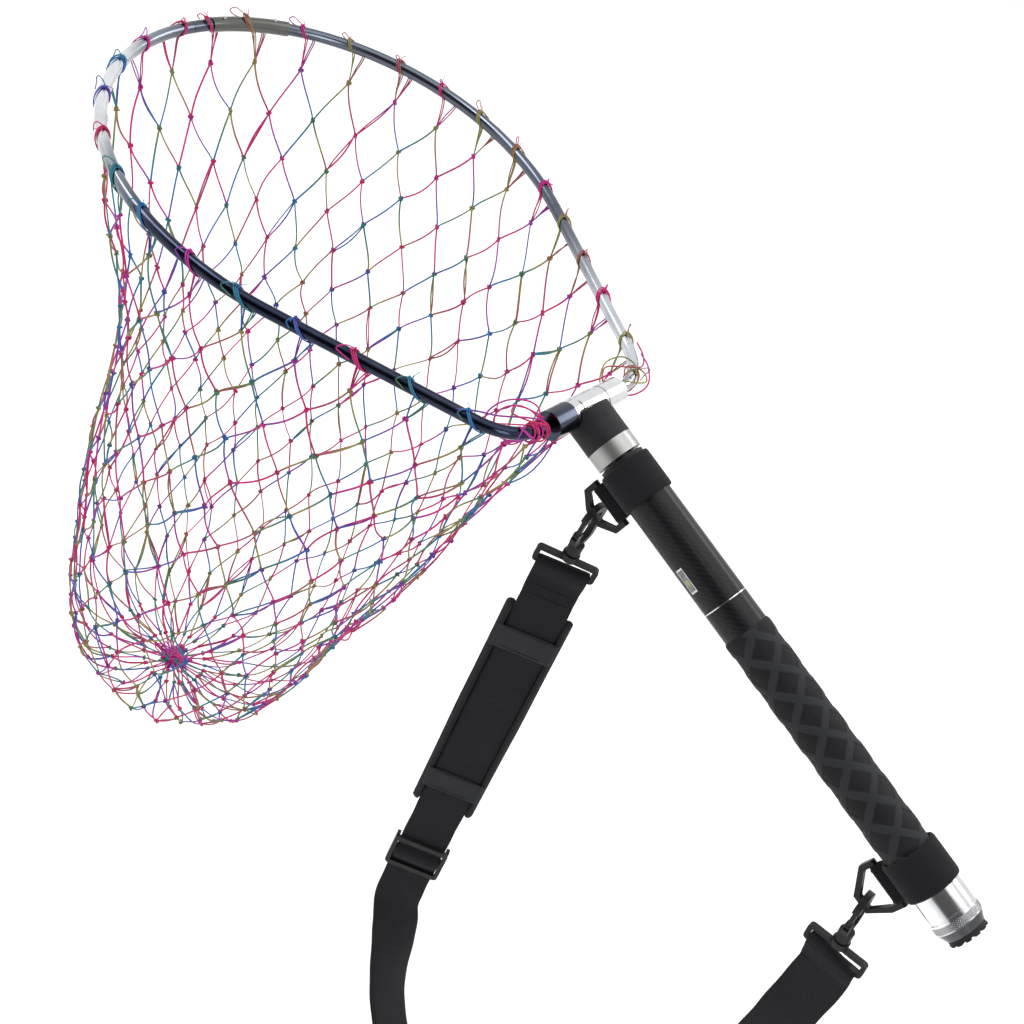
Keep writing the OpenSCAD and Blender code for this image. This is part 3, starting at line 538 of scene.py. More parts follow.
def build_grip():
    """Sleeve with two families of spiral ribs that cross, and a flat ring at either end."""
    rows, cols = 620, 288
    s = np.linspace(GRIP_START, GRIP_END, rows)
    a = np.arange(cols) * TAU / cols
    ss, aa = np.meshgrid(s, a, indexing="ij")
    pitch, around = 26.0, 4
    one, two = ss / pitch + aa * around / TAU, ss / pitch - aa * around / TAU
    gap = np.minimum(np.abs(one - np.round(one)), np.abs(two - np.round(two))) * pitch * 0.72
    rib = 1 - np.clip((gap - 1.9) / 1.3, 0, 1)
    rib = smooth(rib)
    ends = np.clip(np.minimum(ss - GRIP_START, GRIP_END - ss) / 2.5, 0, 1)
    r = 17.05 + 0.62 * rib * ends + 0.06 * np.sin(ss * 0.31 + 2 * aa) - 0.35 * (1 - ends) ** 2
    p = round_pole(ss, r, aa)
    batch = Batch()
    batch.grid(p, np.stack([aa * 0.0172, ss * MM], -1), rib * ends, close_v=True)
    for end, flip in ((p[0], 1), (p[-1], -1)):
        mid = end.mean(0)
        inner = mid + (end - mid) * (16.55 / 17.0)
        ring = np.stack([inner, end] if flip > 0 else [end, inner])
        batch.grid(ring, None, 0.0, close_v=True)
    grip = batch.build("grip_lattice", GRIP, "pole", "grip_rubber", "rib")
    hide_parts("grip_sleeve")


build_grip()

# ---------------------------------------------------------------- belts round the pole

BAR_DROP = 30.0


def build_belt(name, node_name, s_mid, r_in, width, thick):
    """Webbing wrapped round the pole, pinched together below it and looped round the D-ring's bar."""
    rc = r_in + thick / 2 + 0.1
    loop_r = 2.35 + thick / 2 + 0.05
    spread = 33  # degrees from straight below the pole to where the webbing leaves it
    arc = np.radians(np.linspace(spread, 360 - spread, 90))
    path = [(rc * math.cos(a), rc * math.sin(a)) for a in arc]
    neck = [(rc * math.cos(math.radians(spread)) + 3.2, -thick / 2 - 3.2), (BAR_DROP - 7.5, -thick / 2 - 0.6)]
    turn = np.radians(np.linspace(-112, 112, 18))
    tip = [(BAR_DROP + loop_r * math.cos(a), loop_r * math.sin(a)) for a in turn]
    other = [(b, -y) for b, y in neck[::-1]]
    ring = spline(np.array(path[::6] + [path[-1]] + neck + tip[::3] + [tip[-1]] + other + [path[0]]), 6)[:-1]
    batch = Batch()
    centre = np.array([pole_point(s_mid, b, y) for b, y in ring])
    t = tangents(centre, True)
    out = np.cross(t, E_S)
    mid = np.array([pole_point(s_mid, 6, 0)])
    out *= np.sign(((centre - mid) * out).sum(1, keepdims=True))
    along = distances(centre)
    x = np.linspace(-1, 1, 19)
    full = np.where(np.abs(x) > 0.9, 1 - 0.45 * (np.abs(x) - 0.9) / 0.1, 1.0)
    px = np.concatenate([x, x[::-1]]) * width / 2
    py = np.concatenate([-full, full[::-1]]) * thick / 2
    ripple = 0.12 * np.sin(along / 0.00034)[:, None] * (np.abs(px) > 0.47 * width)[None]
    p = centre[:, None] + ((px[None] + ripple)[..., None] * E_S + py[None, :, None] * out[:, None]) * MM
    uv = np.stack(np.broadcast_arrays(px[None] * MM, along[:, None]), -1)
    batch.grid(p, uv, close_u=True, close_v=True)
    belt = batch.build(name, BELT, "pole", "webbing")
    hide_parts(node_name)
    thread = Batch()
    face = (centre + out * (thick / 2) * MM)
    lower = (centre @ E_B) > (rc * math.cos(math.radians(spread))) * MM + 0.001
    for edge in (-0.42, 0.42):
        line = face + E_S * edge * width * MM
        for group in np.split(np.arange(len(line)), np.where(np.diff(lower.astype(int)))[0] + 1):
            if lower[group[0]]:
                stitches(thread, line[group], out[group])
    for side in (-1, 1):
        b = BAR_DROP - 8.2
        y = side * (thick + 0.75)
        line = np.array([pole_point(s_mid + k, b, y) for k in np.linspace(-0.42, 0.42, 12) * width])
        stitches(thread, line, side * E_Y)
    seam = thread.build(name + "_stitching", THREAD, None, "webbing")
    seam.parent = belt


build_belt("belt_upper_webbing", "belt_upper", -218, 16.55, 29.0, 2.3)
build_belt("belt_lower_webbing", "belt_lower", 96, 17.75, 29.0, 2.6)

# ---------------------------------------------------------------- strap

RUN_SLOPE = math.radians(6.1)
STRAP_TURN = math.radians(28)
RUN_DOWN = np.array([math.sin(RUN_SLOPE), 0, -math.cos(RUN_SLOPE)])
RUN_UP = -RUN_DOWN
RUN_ACROSS = np.array([math.cos(STRAP_TURN) * math.cos(RUN_SLOPE), math.sin(STRAP_TURN),
                       math.cos(STRAP_TURN) * math.sin(RUN_SLOPE)])
RUN_BACK = np.cross(RUN_UP, RUN_ACROSS)


def hook_frame(s, drop, lean):
    """Origin of a hook's frame and the direction down it, for a lean in degrees."""
    bar = pole_point(s, drop)
    lean = math.radians(lean)
    down = np.array([math.sin(lean), 0, -math.cos(lean)])
    return bar + 0.002 * down, down


UPPER_EYE, UPPER_DOWN = hook_frame(-219, BAR_DROP + 21 - 2.2, 3)
LOWER_EYE, LOWER_DOWN = hook_frame(102, BAR_DROP + 31 - 2.2, 12)
RING_BAR_DOWN = (42.7 + 15 - 1.8) * MM
UPPER_BAR = UPPER_EYE + RING_BAR_DOWN * UPPER_DOWN
LOWER_BAR = LOWER_EYE + RING_BAR_DOWN * LOWER_DOWN
RUN_START = UPPER_BAR + 2.0 * MM * RUN_DOWN
WEB_W, WEB_T = 40 * MM, 1.7 * MM


def on_run(down, x=0.0, back=0.0):
    """A point on the straight run: down from its start, across and behind it, in millimetres."""
    return RUN_START + (down * RUN_DOWN + x * RUN_ACROSS + back * RUN_BACK) * MM


LOOP_ROUTE = [
    (-174, -486, 34), (-164, -508, 44), (-154, -532, 56), (-144, -557, 68), (-133, -583, 79),
    (-119, -609, 87), (-102, -634, 90), (-80, -657, 90), (-53, -674, 90), (-22, -683, 90),
    (10, -681, 90), (39, -669, 90), (63, -648, 90), (81, -619, 86), (93, -582, 78), (101, -540, 66),
    (106, -494, 53), (110, -446, 40), (113, -398, 28), (115, -350, 18), (115, -302, 11),
    (113, -254, 7), (109, -208, 6),
]


def build_strap():
    """One webbing from the upper ring to the lower ring's bar, and its return up to the slider."""
    run = [(*(on_run(d)[[0, 2]] / MM), 28) for d in np.linspace(-2, 401, 15)]
    end = [(*((LOWER_BAR + d * MM * LOWER_DOWN)[[0, 2]] / MM), 0) for d in (24, 12, 0)]
    route = spline(np.array(run + LOOP_ROUTE + end), 7)
    centre = np.stack([route[:, 0], 0 * route[:, 0], route[:, 1]], -1) * MM
    turn = np.radians(route[:, 2])
    across = np.stack([np.cos(turn), np.sin(turn), 0 * turn], -1)
    t = tangents(centre)
    flat = across - (across * t).sum(1, keepdims=True) * t
    flat /= np.linalg.norm(flat, axis=1, keepdims=True)
    behind = np.cross(t, flat)
    behind *= -np.sign((behind[0] * -RUN_BACK).sum())
    down = distances(centre)
    total = down[-1]

    def ease(v):
        return smooth(np.clip(v, 0, 1))

    # Round a bar the webbing's middle is r away; the two layers lie close together between the bars
    r = 3.85 * MM
    sway = 1.1 * MM * np.sin(down / 0.037) * ease((down - 0.42) / 0.08) * ease((total - 0.02 - down) / 0.06)
    near_end = ease((down - total + 0.018) / 0.018)
    lead = (r * (1 - ease(down / 0.017)) + 1.0 * MM * ease((down - 0.378) / 0.03) + (r - 1.0 * MM) * near_end)
    front = centre - behind * (lead - sway)[:, None]
    top = []
    for d, b in ((34, 1.75), (28, 1.75), (22, 1.75), (16, 1.9), (10, 2.5), (5, 3.4)):
        top.append(UPPER_BAR + RUN_DOWN * d * MM + RUN_BACK * b * MM)
    for a in np.radians(np.linspace(0, 165, 12)):
        top.append(UPPER_BAR + RUN_BACK * r * math.cos(a) + RUN_UP * r * math.sin(a))
    e_back = unit(behind[-1] - (behind[-1] @ LOWER_DOWN) * LOWER_DOWN)
    bottom = []
    for a in np.radians(np.linspace(15, 180, 12)):
        bottom.append(LOWER_BAR - e_back * r * math.cos(a) - LOWER_DOWN * r * math.sin(a))
    body = np.vstack([spline(np.array(top), 3), front, spline(np.array(bottom), 3)])
    n_top, n_low = 3 * (len(top) - 1) + 1, 3 * (len(bottom) - 1) + 1
    side = np.vstack([np.tile(RUN_ACROSS, (n_top, 1)), across, np.tile(across[-1], (n_low, 1))])
    batch = Batch()
    ribbon(batch, body, side, WEB_W, WEB_T, wave=0.010)
    web = batch.build("strap_webbing", WEBBING, "strap", "webbing")
    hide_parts("webbing_upper", "webbing_loop")
    # The return layer lies behind the first, from below the slider to the lower ring
    use = (down > 0.370) & (down < total - 0.0015)
    trail = (1.85 * MM - 0.85 * MM * ease((down - 0.378) / 0.03) + (r - 1.0 * MM) * near_end
             + 0.5 * MM * (1 + np.sin(down / 0.021)) * ease((down - 0.44) / 0.05) * (1 - near_end))
    back = (centre + behind * (trail + sway)[:, None])[use]
    back = np.vstack([back, LOWER_BAR + e_back * r])
    side = np.vstack([across[use], across[-1]])
    batch = Batch()
    ribbon(batch, back, side, WEB_W, WEB_T, wave=0.010)
    ret = batch.build("strap_return", WEBBING, None, "webbing")
    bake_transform(ret)
    # Stitched box below the upper ring
    thread = Batch()
    for d in (21, 31):
        stitches(thread, [on_run(d, -17, -0.95), on_run(d, 17, -0.95)], -RUN_BACK)
    for x in (-17, 17):
        stitches(thread, [on_run(21, x, -0.95), on_run(31, x, -0.95)], -RUN_BACK)
    seam = thread.build("strap_stitching", THREAD, None, "webbing")
    seam.parent = web
    # Short loop of webbing over the slider's middle bar
    batch = Batch()
    mid = 359.0
    arch = [(mid - 12.2, 0, -1.2), (mid - 8.8, 0, -1.6), (mid - 5.2, 0, -4.4), (mid - 2.6, 0, -5.6),
            (mid, 0, -5.8),
            (mid + 2.6, 0, -5.6), (mid + 5.2, 0, -4.4), (mid + 8.8, 0, -1.6), (mid + 12.2, 0, -1.2)]
    line = spline(np.array([on_run(*p) for p in arch]), 5)
    ribbon(batch, line, np.tile(RUN_ACROSS, (len(line), 1)), 39 * MM, 1.5 * MM)
    loop = batch.build("slider_loop", WEBBING, "slider", "webbing")


build_strap()

# ---------------------------------------------------------------- shoulder pad

PAD_AT, PAD_L, PAD_W = 168.0, 246.0, 53.0
CHANNEL = 1.3  # from the middle of the webbing to the pad's front, in millimetres


def weld(obj, dist):
    """Joins vertices that lie on each other and makes the faces point out."""
    bm = bmesh.new()
    bm.from_mesh(obj.data)
    bmesh.ops.remove_doubles(bm, verts=bm.verts, dist=dist)
    bmesh.ops.recalc_face_normals(bm, faces=bm.faces)
    bm.to_mesh(obj.data)
    bm.free()


def build_pad():
    """Padded body with raised rails, a padded back, and two bands over the webbing."""
    rows, cols = 150, 44
    z = np.linspace(-1, 1, rows)
    # Outline: straight sides, corner lugs beyond the bands, shallow waist at the ends
    half_l = PAD_L / 2
    zz = z * half_l
    x = np.linspace(-1, 1, cols)
    xs = np.sign(x) * np.abs(x) ** 0.9
    width = PAD_W / 2 * (1 - 0.10 * np.clip((np.abs(z) - 0.975) / 0.025, 0, 1) ** 2)
    px = xs[None] * width[:, None]
    at_end = np.clip((np.abs(z) - 0.90) / 0.10, 0, 1) ** 2
    pull = 7.0 * np.clip(1 - (np.abs(px) / 21.0) ** 6, 0, 1) * at_end[:, None]
    pz = zz[:, None] - np.sign(zz)[:, None] * pull
    rail = np.clip((np.abs(px) - 20.3) / 1.2, 0, 1)
    rail = smooth(rail)
    edge = (np.sqrt(np.clip(1 - (np.abs(xs)[None] ** 14), 0, 1))
            * np.sqrt(np.clip(1 - (np.abs(z)[:, None] ** 60), 0, 1)))
    quilt = 0.25 * np.cos(px * TAU / 3.4) * (1 - rail) * 0.6
    front = CHANNEL + 0.25 + quilt * 0.3 - rail * 3.4 * edge + (1 - edge) * 1.2
    crown = 1 - (np.abs(px) / (PAD_W / 2)) ** 2.4
    back = CHANNEL + 3.6 + 2.8 * crown * edge + 0.25 * np.sin(zz / 9.0)[:, None] * crown - (1 - edge) * 2.2
    back = back + 0.18 * np.sin(px * 0.31 + 1.3) * np.cos(zz[:, None] * 0.043 + px * 0.05)

    def place(h):
        return (RUN_START + PAD_AT * MM * RUN_DOWN
                + (-pz[..., None] * RUN_DOWN + px[..., None] * RUN_ACROSS + h[..., None] * RUN_BACK) * MM)

    batch = Batch()
    uv = np.stack([px * MM, pz * MM], -1)
    top, under = place(front), place(back)
    batch.grid(top, uv)
    batch.grid(under[:, ::-1], uv[:, ::-1])
    rim_a = np.vstack([top[0, :], top[1:, -1], top[-1, -2::-1], top[-2:0:-1, 0]])
    rim_b = np.vstack([under[0, :], under[1:, -1], under[-1, -2::-1], under[-2:0:-1, 0]])
    steps = np.linspace(0, 1, 6)[:, None, None]
    swell = np.sin(np.linspace(0, math.pi, 6))[:, None, None] * 0.7 * MM
    mid = rim_a.mean(0)
    out = rim_a - mid
    out -= (out @ RUN_BACK)[:, None] * RUN_BACK
    out /= np.linalg.norm(out, axis=1, keepdims=True)
    wall = rim_a[None] * (1 - steps) + rim_b[None] * steps + out[None] * swell
    batch.grid(wall[::-1], None, close_v=True)
    pad = batch.build("shoulder_pad", PAD_EDGE, None, "pad_fabric")
    pad.data.materials.append(PAD_CORE)
    mesh = pad.data
    centre = RUN_START + PAD_AT * MM * RUN_DOWN
    for poly in mesh.polygons:
        c = np.array(poly.center) - centre
        if abs(c @ RUN_ACROSS) < 20.6 * MM:
            poly.material_index = 1
    weld(pad, 0.00002)
    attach(pad, "pad")
    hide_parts("pad_body", "pad_bands")
    # Cross bands over the webbing, wrapped round the rails to the back
    thread = Batch()
    for k, side in enumerate((-1, 1)):
        at = PAD_AT + side * (PAD_L / 2 - 24 - 11)
        prof = [(-24.2, -0.2), (-23.4, -1.6), (-21.8, -2.35), (-19.5, -2.1), (-12, -1.8), (0, -1.75),
                (12, -1.8), (19.5, -2.1), (21.8, -2.35), (23.4, -1.6), (24.2, -0.2)]
        line = spline(np.array([on_run(at, px_, b) for px_, b in prof]), 5)
        batch = Batch()
        ribbon(batch, line, np.tile(RUN_DOWN, (len(line), 1)), 23 * MM, 1.0 * MM, edge=0.5)
        band = batch.build("pad_band_%d" % (k + 1), BAND, None, "webbing")
        band.parent = pad
        for d in (-9.8, 9.8):
            line = [on_run(at + d, -18, -2.4), on_run(at + d, 18, -2.4)]
            stitches(thread, line, -RUN_BACK, 2.6 * MM, 1.8 * MM)
    for x0 in (-21.6, 21.6):
        line = [on_run(PAD_AT + k, x0, -2.15) for k in np.linspace(-108, 108, 60)]
        stitches(thread, line, -RUN_BACK, 3.2 * MM, 2.3 * MM)
    seam = thread.build("pad_stitching", THREAD, None, "webbing")
    seam.parent = pad


build_pad()

# ---------------------------------------------------------------- knurl of the butt cap

KNURL_START, KNURL_END, KNURL_R = 131.4, 136.4, 17.68


def build_knurl():
    """A closed band of diamond knurling round the cap."""
    rows, cols = 26, 480
    s = np.linspace(KNURL_START, KNURL_END, rows)
    a = np.arange(cols) * TAU / cols
    ss, aa = np.meshgrid(s, a, indexing="ij")
    count = 60
    one = np.abs(np.sin(aa * count / 2 + ss * 1.9))
    two = np.abs(np.sin(aa * count / 2 - ss * 1.9))
    fade = np.clip(np.minimum(ss - KNURL_START, KNURL_END - ss) / 0.3, 0, 1)
    outer = round_pole(ss, KNURL_R + 0.02 + 0.22 * np.minimum(one, two) * fade, aa)
    inner = round_pole(ss, KNURL_R - 0.25, aa)
    ring = np.concatenate([outer, inner[::-1]], 0)
    batch = Batch()
    batch.grid(ring, None, close_u=True, close_v=True)
    batch.build("cap_knurl", KNURL, "butt_cap", "polished_aluminium")


build_knurl()

# ---------------------------------------------------------------- net bag

PIVOT = pole_point(-280)
BASE_HALF, CORNER_R, SIDE_R, HALF_W, SIDE = 44.0, 48.0, 195.0, 174.0, math.radians(26.5)
CORNER_LEN = CORNER_R * (math.pi / 2 - SIDE)
SIDE_LEN = (HALF_W - BASE_HALF - CORNER_R * math.cos(SIDE) - SIDE_R * (1 - math.cos(SIDE))) / math.sin(SIDE)
CORNER_END = (CORNER_R * (1 - math.sin(SIDE)), BASE_HALF + CORNER_R * math.cos(SIDE))
SIDE_END = (CORNER_END[0] + SIDE_LEN * math.cos(SIDE), CORNER_END[1] + SIDE_LEN * math.sin(SIDE))
NOSE_X = SIDE_END[0] + SIDE_R * math.sin(SIDE)
NOSE_LEN = HALF_W * math.pi / 2
HALF_LEN = BASE_HALF + CORNER_LEN + SIDE_LEN + SIDE_R * SIDE + NOSE_LEN


def hoop_at(u):
    """(forward, sideways, heading) at distance u along half of the hoop, from the middle of its base."""
    if u < BASE_HALF:
        return 0.0, u, math.pi / 2
    if u < BASE_HALF + CORNER_LEN:
        a = math.pi / 2 - (u - BASE_HALF) / CORNER_R
        return CORNER_R * (1 - math.sin(a)), BASE_HALF + CORNER_R * math.cos(a), a
    if u < BASE_HALF + CORNER_LEN + SIDE_LEN:
        v = u - BASE_HALF - CORNER_LEN
        return CORNER_END[0] + v * math.cos(SIDE), CORNER_END[1] + v * math.sin(SIDE), SIDE
    if u < HALF_LEN - NOSE_LEN:
        a = (HALF_LEN - NOSE_LEN - u) / SIDE_R
        return NOSE_X - SIDE_R * math.sin(a), HALF_W - SIDE_R * (1 - math.cos(a)), a
    a = min(math.pi / 2, (u - HALF_LEN + NOSE_LEN) / HALF_W)
    return NOSE_X + HALF_W * math.sin(a), HALF_W * math.cos(a), -a


BAG_T = [0, 0.1, 0.2, 0.3, 0.45, 0.6, 0.75, 0.87, 0.94, 0.98, 1]
BAG_K = [1, 0.955, 0.87, 0.82, 0.785, 0.735, 0.69, 0.625, 0.545, 0.39, 0.06]
BAG_CENTRE, BAG_EDGE, BAG_DEPTH, BAG_ROUND, BAG_DIP = 210.0, 14.0, 557.0, 184.0, 24.0


def bag_point(t, u, inset=0.0):
    """A point of the bag's wall: t is the share of the depth and u the signed distance along the rim."""
    x, y, _ = hoop_at(abs(u))
    y = math.copysign(y, u)
    p = np.array([max(x, BAG_EDGE) - BAG_CENTRE, y])
    dip = BAG_DIP * math.cos(math.pi / 2 * abs(y) / BASE_HALF) if p[0] < 0 and abs(y) < BASE_HALF else 0.0
    m = smooth(min(1, t / 0.35))
    q = BAG_ROUND * p / np.linalg.norm(p)
    c = -p[0] / np.linalg.norm(p)
    if c > 0:
        swell = 0.13 * math.sin(math.pi * min(1, t / 0.68)) * c**1.6
    else:
        swell = -0.07 * math.sin(math.pi * min(1, t / 0.5)) * c * c
    k = float(np.interp(t, BAG_T, BAG_K)) + swell - inset / BAG_ROUND
    r = k * ((1 - m) * p + m * q)
    return np.array([BAG_CENTRE + r[0], r[1], -6.5 * min(1, t * 12) - dip * (1 - t) - t * (BAG_DEPTH - 6.5)])


TWINE_R = 0.70
LOOPS = 14
PERIOD = 150.0
LEG = 37.5


def world_of(p):
    """Hoop-frame millimetres to world metres, for one point or a row of them."""
    return PIVOT + np.asarray(p) * np.array([-1, 1, 1]) * MM


def rim_columns():
    """Signed rim distances of the mesh columns: the loops on the tube and two free ones at the hinge."""
    start = BASE_HALF + 10
    step = (HALF_LEN - start) / (LOOPS - 0.5)
    side = [start + step * k for k in range(LOOPS)]
    return [-start / 3] + [-s for s in side] + side[::-1] + [start / 3]


def column_at(columns, c):
    """Signed rim distance at a fractional column number, going round the hoop."""
    n = len(columns)
    c = c % n
    k = int(math.floor(c))
    a, b = columns[k], columns[(k + 1) % n]
    if a < 0 < b and -a > HALF_LEN / 2:
        v = -a + (c - k) * (2 * HALF_LEN + a - b)
        return -v if v <= HALF_LEN else 2 * HALF_LEN - v
    return a + (c - k) * (b - a)


def knot_rows(n):
    """Depth shares of the rows of knots, so that legs of one length fit the narrowing bag."""
    t = np.linspace(0, 1, 2001)
    radius = np.interp(t, BAG_T, BAG_K) * 186.0
    z = t * (BAG_DEPTH - 6.5)
    arc = np.concatenate([[0], np.cumsum(np.hypot(np.diff(radius), np.diff(z)))])
    rows, at = [], 24.0
    while at < arc[-1] - 12:
        rows.append(float(np.interp(at, arc, t)))
        half = math.pi * np.interp(at, arc, radius) / n
        at += math.sqrt(LEG * LEG - half * half) * (0.93 if at > arc[-1] - 110 else 1.0)
    return rows


def column_frame(u):
    """Middle of the tube at a signed rim distance, the direction along it to the nose, and outwards."""
    x, y, heading = hoop_at(abs(u))
    sign = math.copysign(1, u)
    centre = np.array([x, y * sign, 0.0])
    along = np.array([math.cos(heading), math.sin(heading) * sign, 0.0])
    out = np.array([along[1], -along[0], 0.0])
    return centre, along, out * np.sign(out @ (centre - np.array([BAG_CENTRE, 0, 0])))


def knot_curve(centre, size, seed):
    """A small overhand knot: a closed three-lobed curve, turned at random."""
    g = np.random.default_rng(seed)
    t = np.linspace(0, TAU, 15)[:-1]
    p = np.stack([np.sin(t) + 2 * np.sin(2 * t), np.cos(t) - 2 * np.cos(2 * t), -1.3 * np.sin(3 * t)], -1) / 3
    q, _ = np.linalg.qr(g.normal(size=(3, 3)))
    return centre + (p @ q) * size


def leg(a, b, lean=0.18, sag=1.2, steps=9):
    """A slightly slack twine between two knots."""
    d = b - a
    size = np.linalg.norm(d)
    t0 = unit(unit(d) * (1 - lean) + np.array([0, 0, -lean]))
    s = np.linspace(0, 1, steps)[:, None]
    h = [2 * s**3 - 3 * s**2 + 1, s**3 - 2 * s**2 + s, -2 * s**3 + 3 * s**2, s**3 - s**2]
    curve = h[0] * a + h[1] * t0 * size + h[2] * b + h[3] * t0 * size
    flat = math.hypot(d[0], d[1]) / size
    curve[:, 2] -= 3.4 * flat * np.sin(math.pi * s[:, 0])
    curve += np.sin(math.pi * s) * (RNG.normal(size=3) * sag)
    return curve


def build_net():
    """The knotted bag: knots, the twine between them, and the gather at the foot."""
    columns = rim_columns()
    n = len(columns)
    depth = [0.0] + knot_rows(n)
    last = len(depth) - 1
    knots = {}
    for i in range(1, last + 1):
        for c in range(n):
            u = column_at(columns, c + 0.5 * ((i + 1) % 2))
            p = bag_point(depth[i], u, 1.2)
            radial = unit(np.array([p[0] - BAG_CENTRE, p[1], 0.0]))
            calm = min(1.0, i / 4) * min(1.0, (last - i) / 3 + 0.25)
            fold = math.sin(0.7 * i + 2.3 * math.sin(u / 95)) * math.sin(u / 47 + 0.9)
            g = RNG.normal(size=3)
            along = np.array([-radial[1], radial[0], 0])
            p = p - radial * (2.2 * abs(fold) + 0.8 * abs(g[2])) * calm
            p = p + along * (g[0] * 2.3 + 2.4 * fold) * calm + np.array([0, 0, g[1] * 2.2 * calm])
            knots[i, c] = p
    batch, blobs = Batch(), Batch()

    def colour(i, c, half):
        """Place along the row's own twine, which zigzags round the bag, in colour periods."""
        return ((i * n + c) * 2 + half) * LEG / PERIOD + 0.43 * i + 0.06 * math.sin(3.1 * i + c)

    for i in range(1, last):
        for c in range(n):
            if i % 2:
                legs = [((i + 1, (c - 1) % n), 0), ((i + 1, c), 1)]
            else:
                legs = [((i + 1, c), 0), ((i + 1, (c + 1) % n), 1)]
            for key, half in legs:
                a, b = knots[i, c], knots[key]
                start = colour(i, c, half)
                ends = (start, start + LEG / PERIOD) if half else (start + LEG / PERIOD, start)
                for k in range(2 if RNG.random() < 0.10 + 0.2 * i / last else 1):
                    curve = leg(a, b) + (RNG.normal(size=3) * 0.5 if k else 0)
                    phase = np.linspace(*ends, len(curve)) + 0.1 * k
                    tube(batch, world_of(curve), TWINE_R * MM * (1 + 0.08 * RNG.normal()), 6, phase)
    # Below the hinge the mouth is closed by twine from the last loops on either side
    for side in (1, -1):
        first = column_frame(-side * columns[1])
        for k in range(2):
            a = first[0] + np.array([0, 0, -5.4]) - first[1] * 2.0 * k
            curve = leg(a, knots[1, 0 if side > 0 else n - 1], sag=1.6, steps=11)
            phase = np.linspace(0.02, 0.2, len(curve)) + 0.55 * (side < 0)
            tube(batch, world_of(curve), 0.55 * MM, 6, phase)
    curve = leg(knots[1, 0], knots[1, n - 1], sag=1.0)
    tube(batch, world_of(curve), TWINE_R * MM, 6, np.linspace(0.0, 0.2, len(curve)))
    for (i, c), p in knots.items():
        size = 1.75 + 0.35 * RNG.random()
        tube(blobs, knot_curve(world_of(p), size * MM, 1000 * i + c), 0.85 * MM, 5,
             np.full(14, colour(i, c, 1)), closed=True)
    # The foot: strands run in bundles to the gather
    gather = np.array([BAG_CENTRE, 0, -BAG_DEPTH + 2.0])
    for c in range(n):
        a = knots[last, c]
        for k in range(1 + (c % 3 > 0)):
            ang = RNG.uniform(0, TAU)
            end = gather + np.array([math.cos(ang) * 3.0, math.sin(ang) * 3.0, RNG.uniform(-1.5, 3.0)])
            mid = (a + end) / 2 + np.array([RNG.normal(), RNG.normal(), -1.5 + RNG.normal()])
            curve = spline(np.array([a, mid, end]), 6)
            hue = (0.85, 0.02, 0.45)[c % 3]
            tube(batch, world_of(curve), TWINE_R * MM, 6, np.linspace(0, 0.3, len(curve)) + hue)
    net = batch.build("net_twine", TWINE, "hoop", "net_twine", "phase")
    knot_piece = blobs.build("net_knots", TWINE, "hoop", "net_twine", "phase")
    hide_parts("net_bag_rim", "net_bag_mouth", "net_bag_upper", "net_bag_middle", "net_bag_lower",
                "net_bag_foot", "net_bag_tip")
    # The gather: turns drawn tight round the strands, and crumpled ends below
    coil = Batch()
    turns = ((3.2, 3.6, 0.10), (4.2, 2.0, 0.47), (5.0, 0.4, 0.50),
             (5.2, -1.2, 0.44), (4.4, -2.8, 0.12), (3.2, -4.0, 0.05))
    for k, (r, z, ph) in enumerate(turns):
        a = np.linspace(0, TAU, 25)[:-1]
        p = np.stack([gather[0] + r * np.cos(a), r * np.sin(a), gather[2] + z + 0.9 * np.sin(a + k)], -1)
        tube(coil, world_of(p), 1.0 * MM, 6, np.full(24, ph), closed=True)
    for k in range(30):
        ang, out = RNG.uniform(0, TAU), RNG.uniform(10, 21)
        d = np.array([math.cos(ang), math.sin(ang), 0])
        e = np.array([-d[1], d[0], 0]) * RNG.normal() * 2.5
        bow = [gather + d * 2, gather + d * out * 0.5 + [0, 0, -2.2], gather + d * out + e + [0, 0, -0.5],
               gather + d * out * 0.55 + e * 1.6 + [0, 0, 2.0], gather + d * 2]
        p = spline(np.array(bow), 5)
        tube(coil, world_of(p), 0.62 * MM, 6, np.linspace(0.0, 0.12, len(p)) + (0.45, 0.08, 0.0, 0.17)[k % 4])
    for k in range(150):
        g = RNG.normal(size=3) * np.array([3.4, 4.6, 2.0])
        tube(coil, knot_curve(world_of(gather + g), 2.0 * MM, 77 + k), 0.8 * MM, 5,
             np.full(14, (0.47, 0.07, 0.42, 0.13)[k % 4] + 0.03 * RNG.normal()), closed=True)
    knot = coil.build("net_gather", TWINE, "hoop", "net_twine", "phase")
    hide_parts("gather_knot")
    for piece in (net, knot_piece, knot):
        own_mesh(piece)
    build_rim(columns, knots)


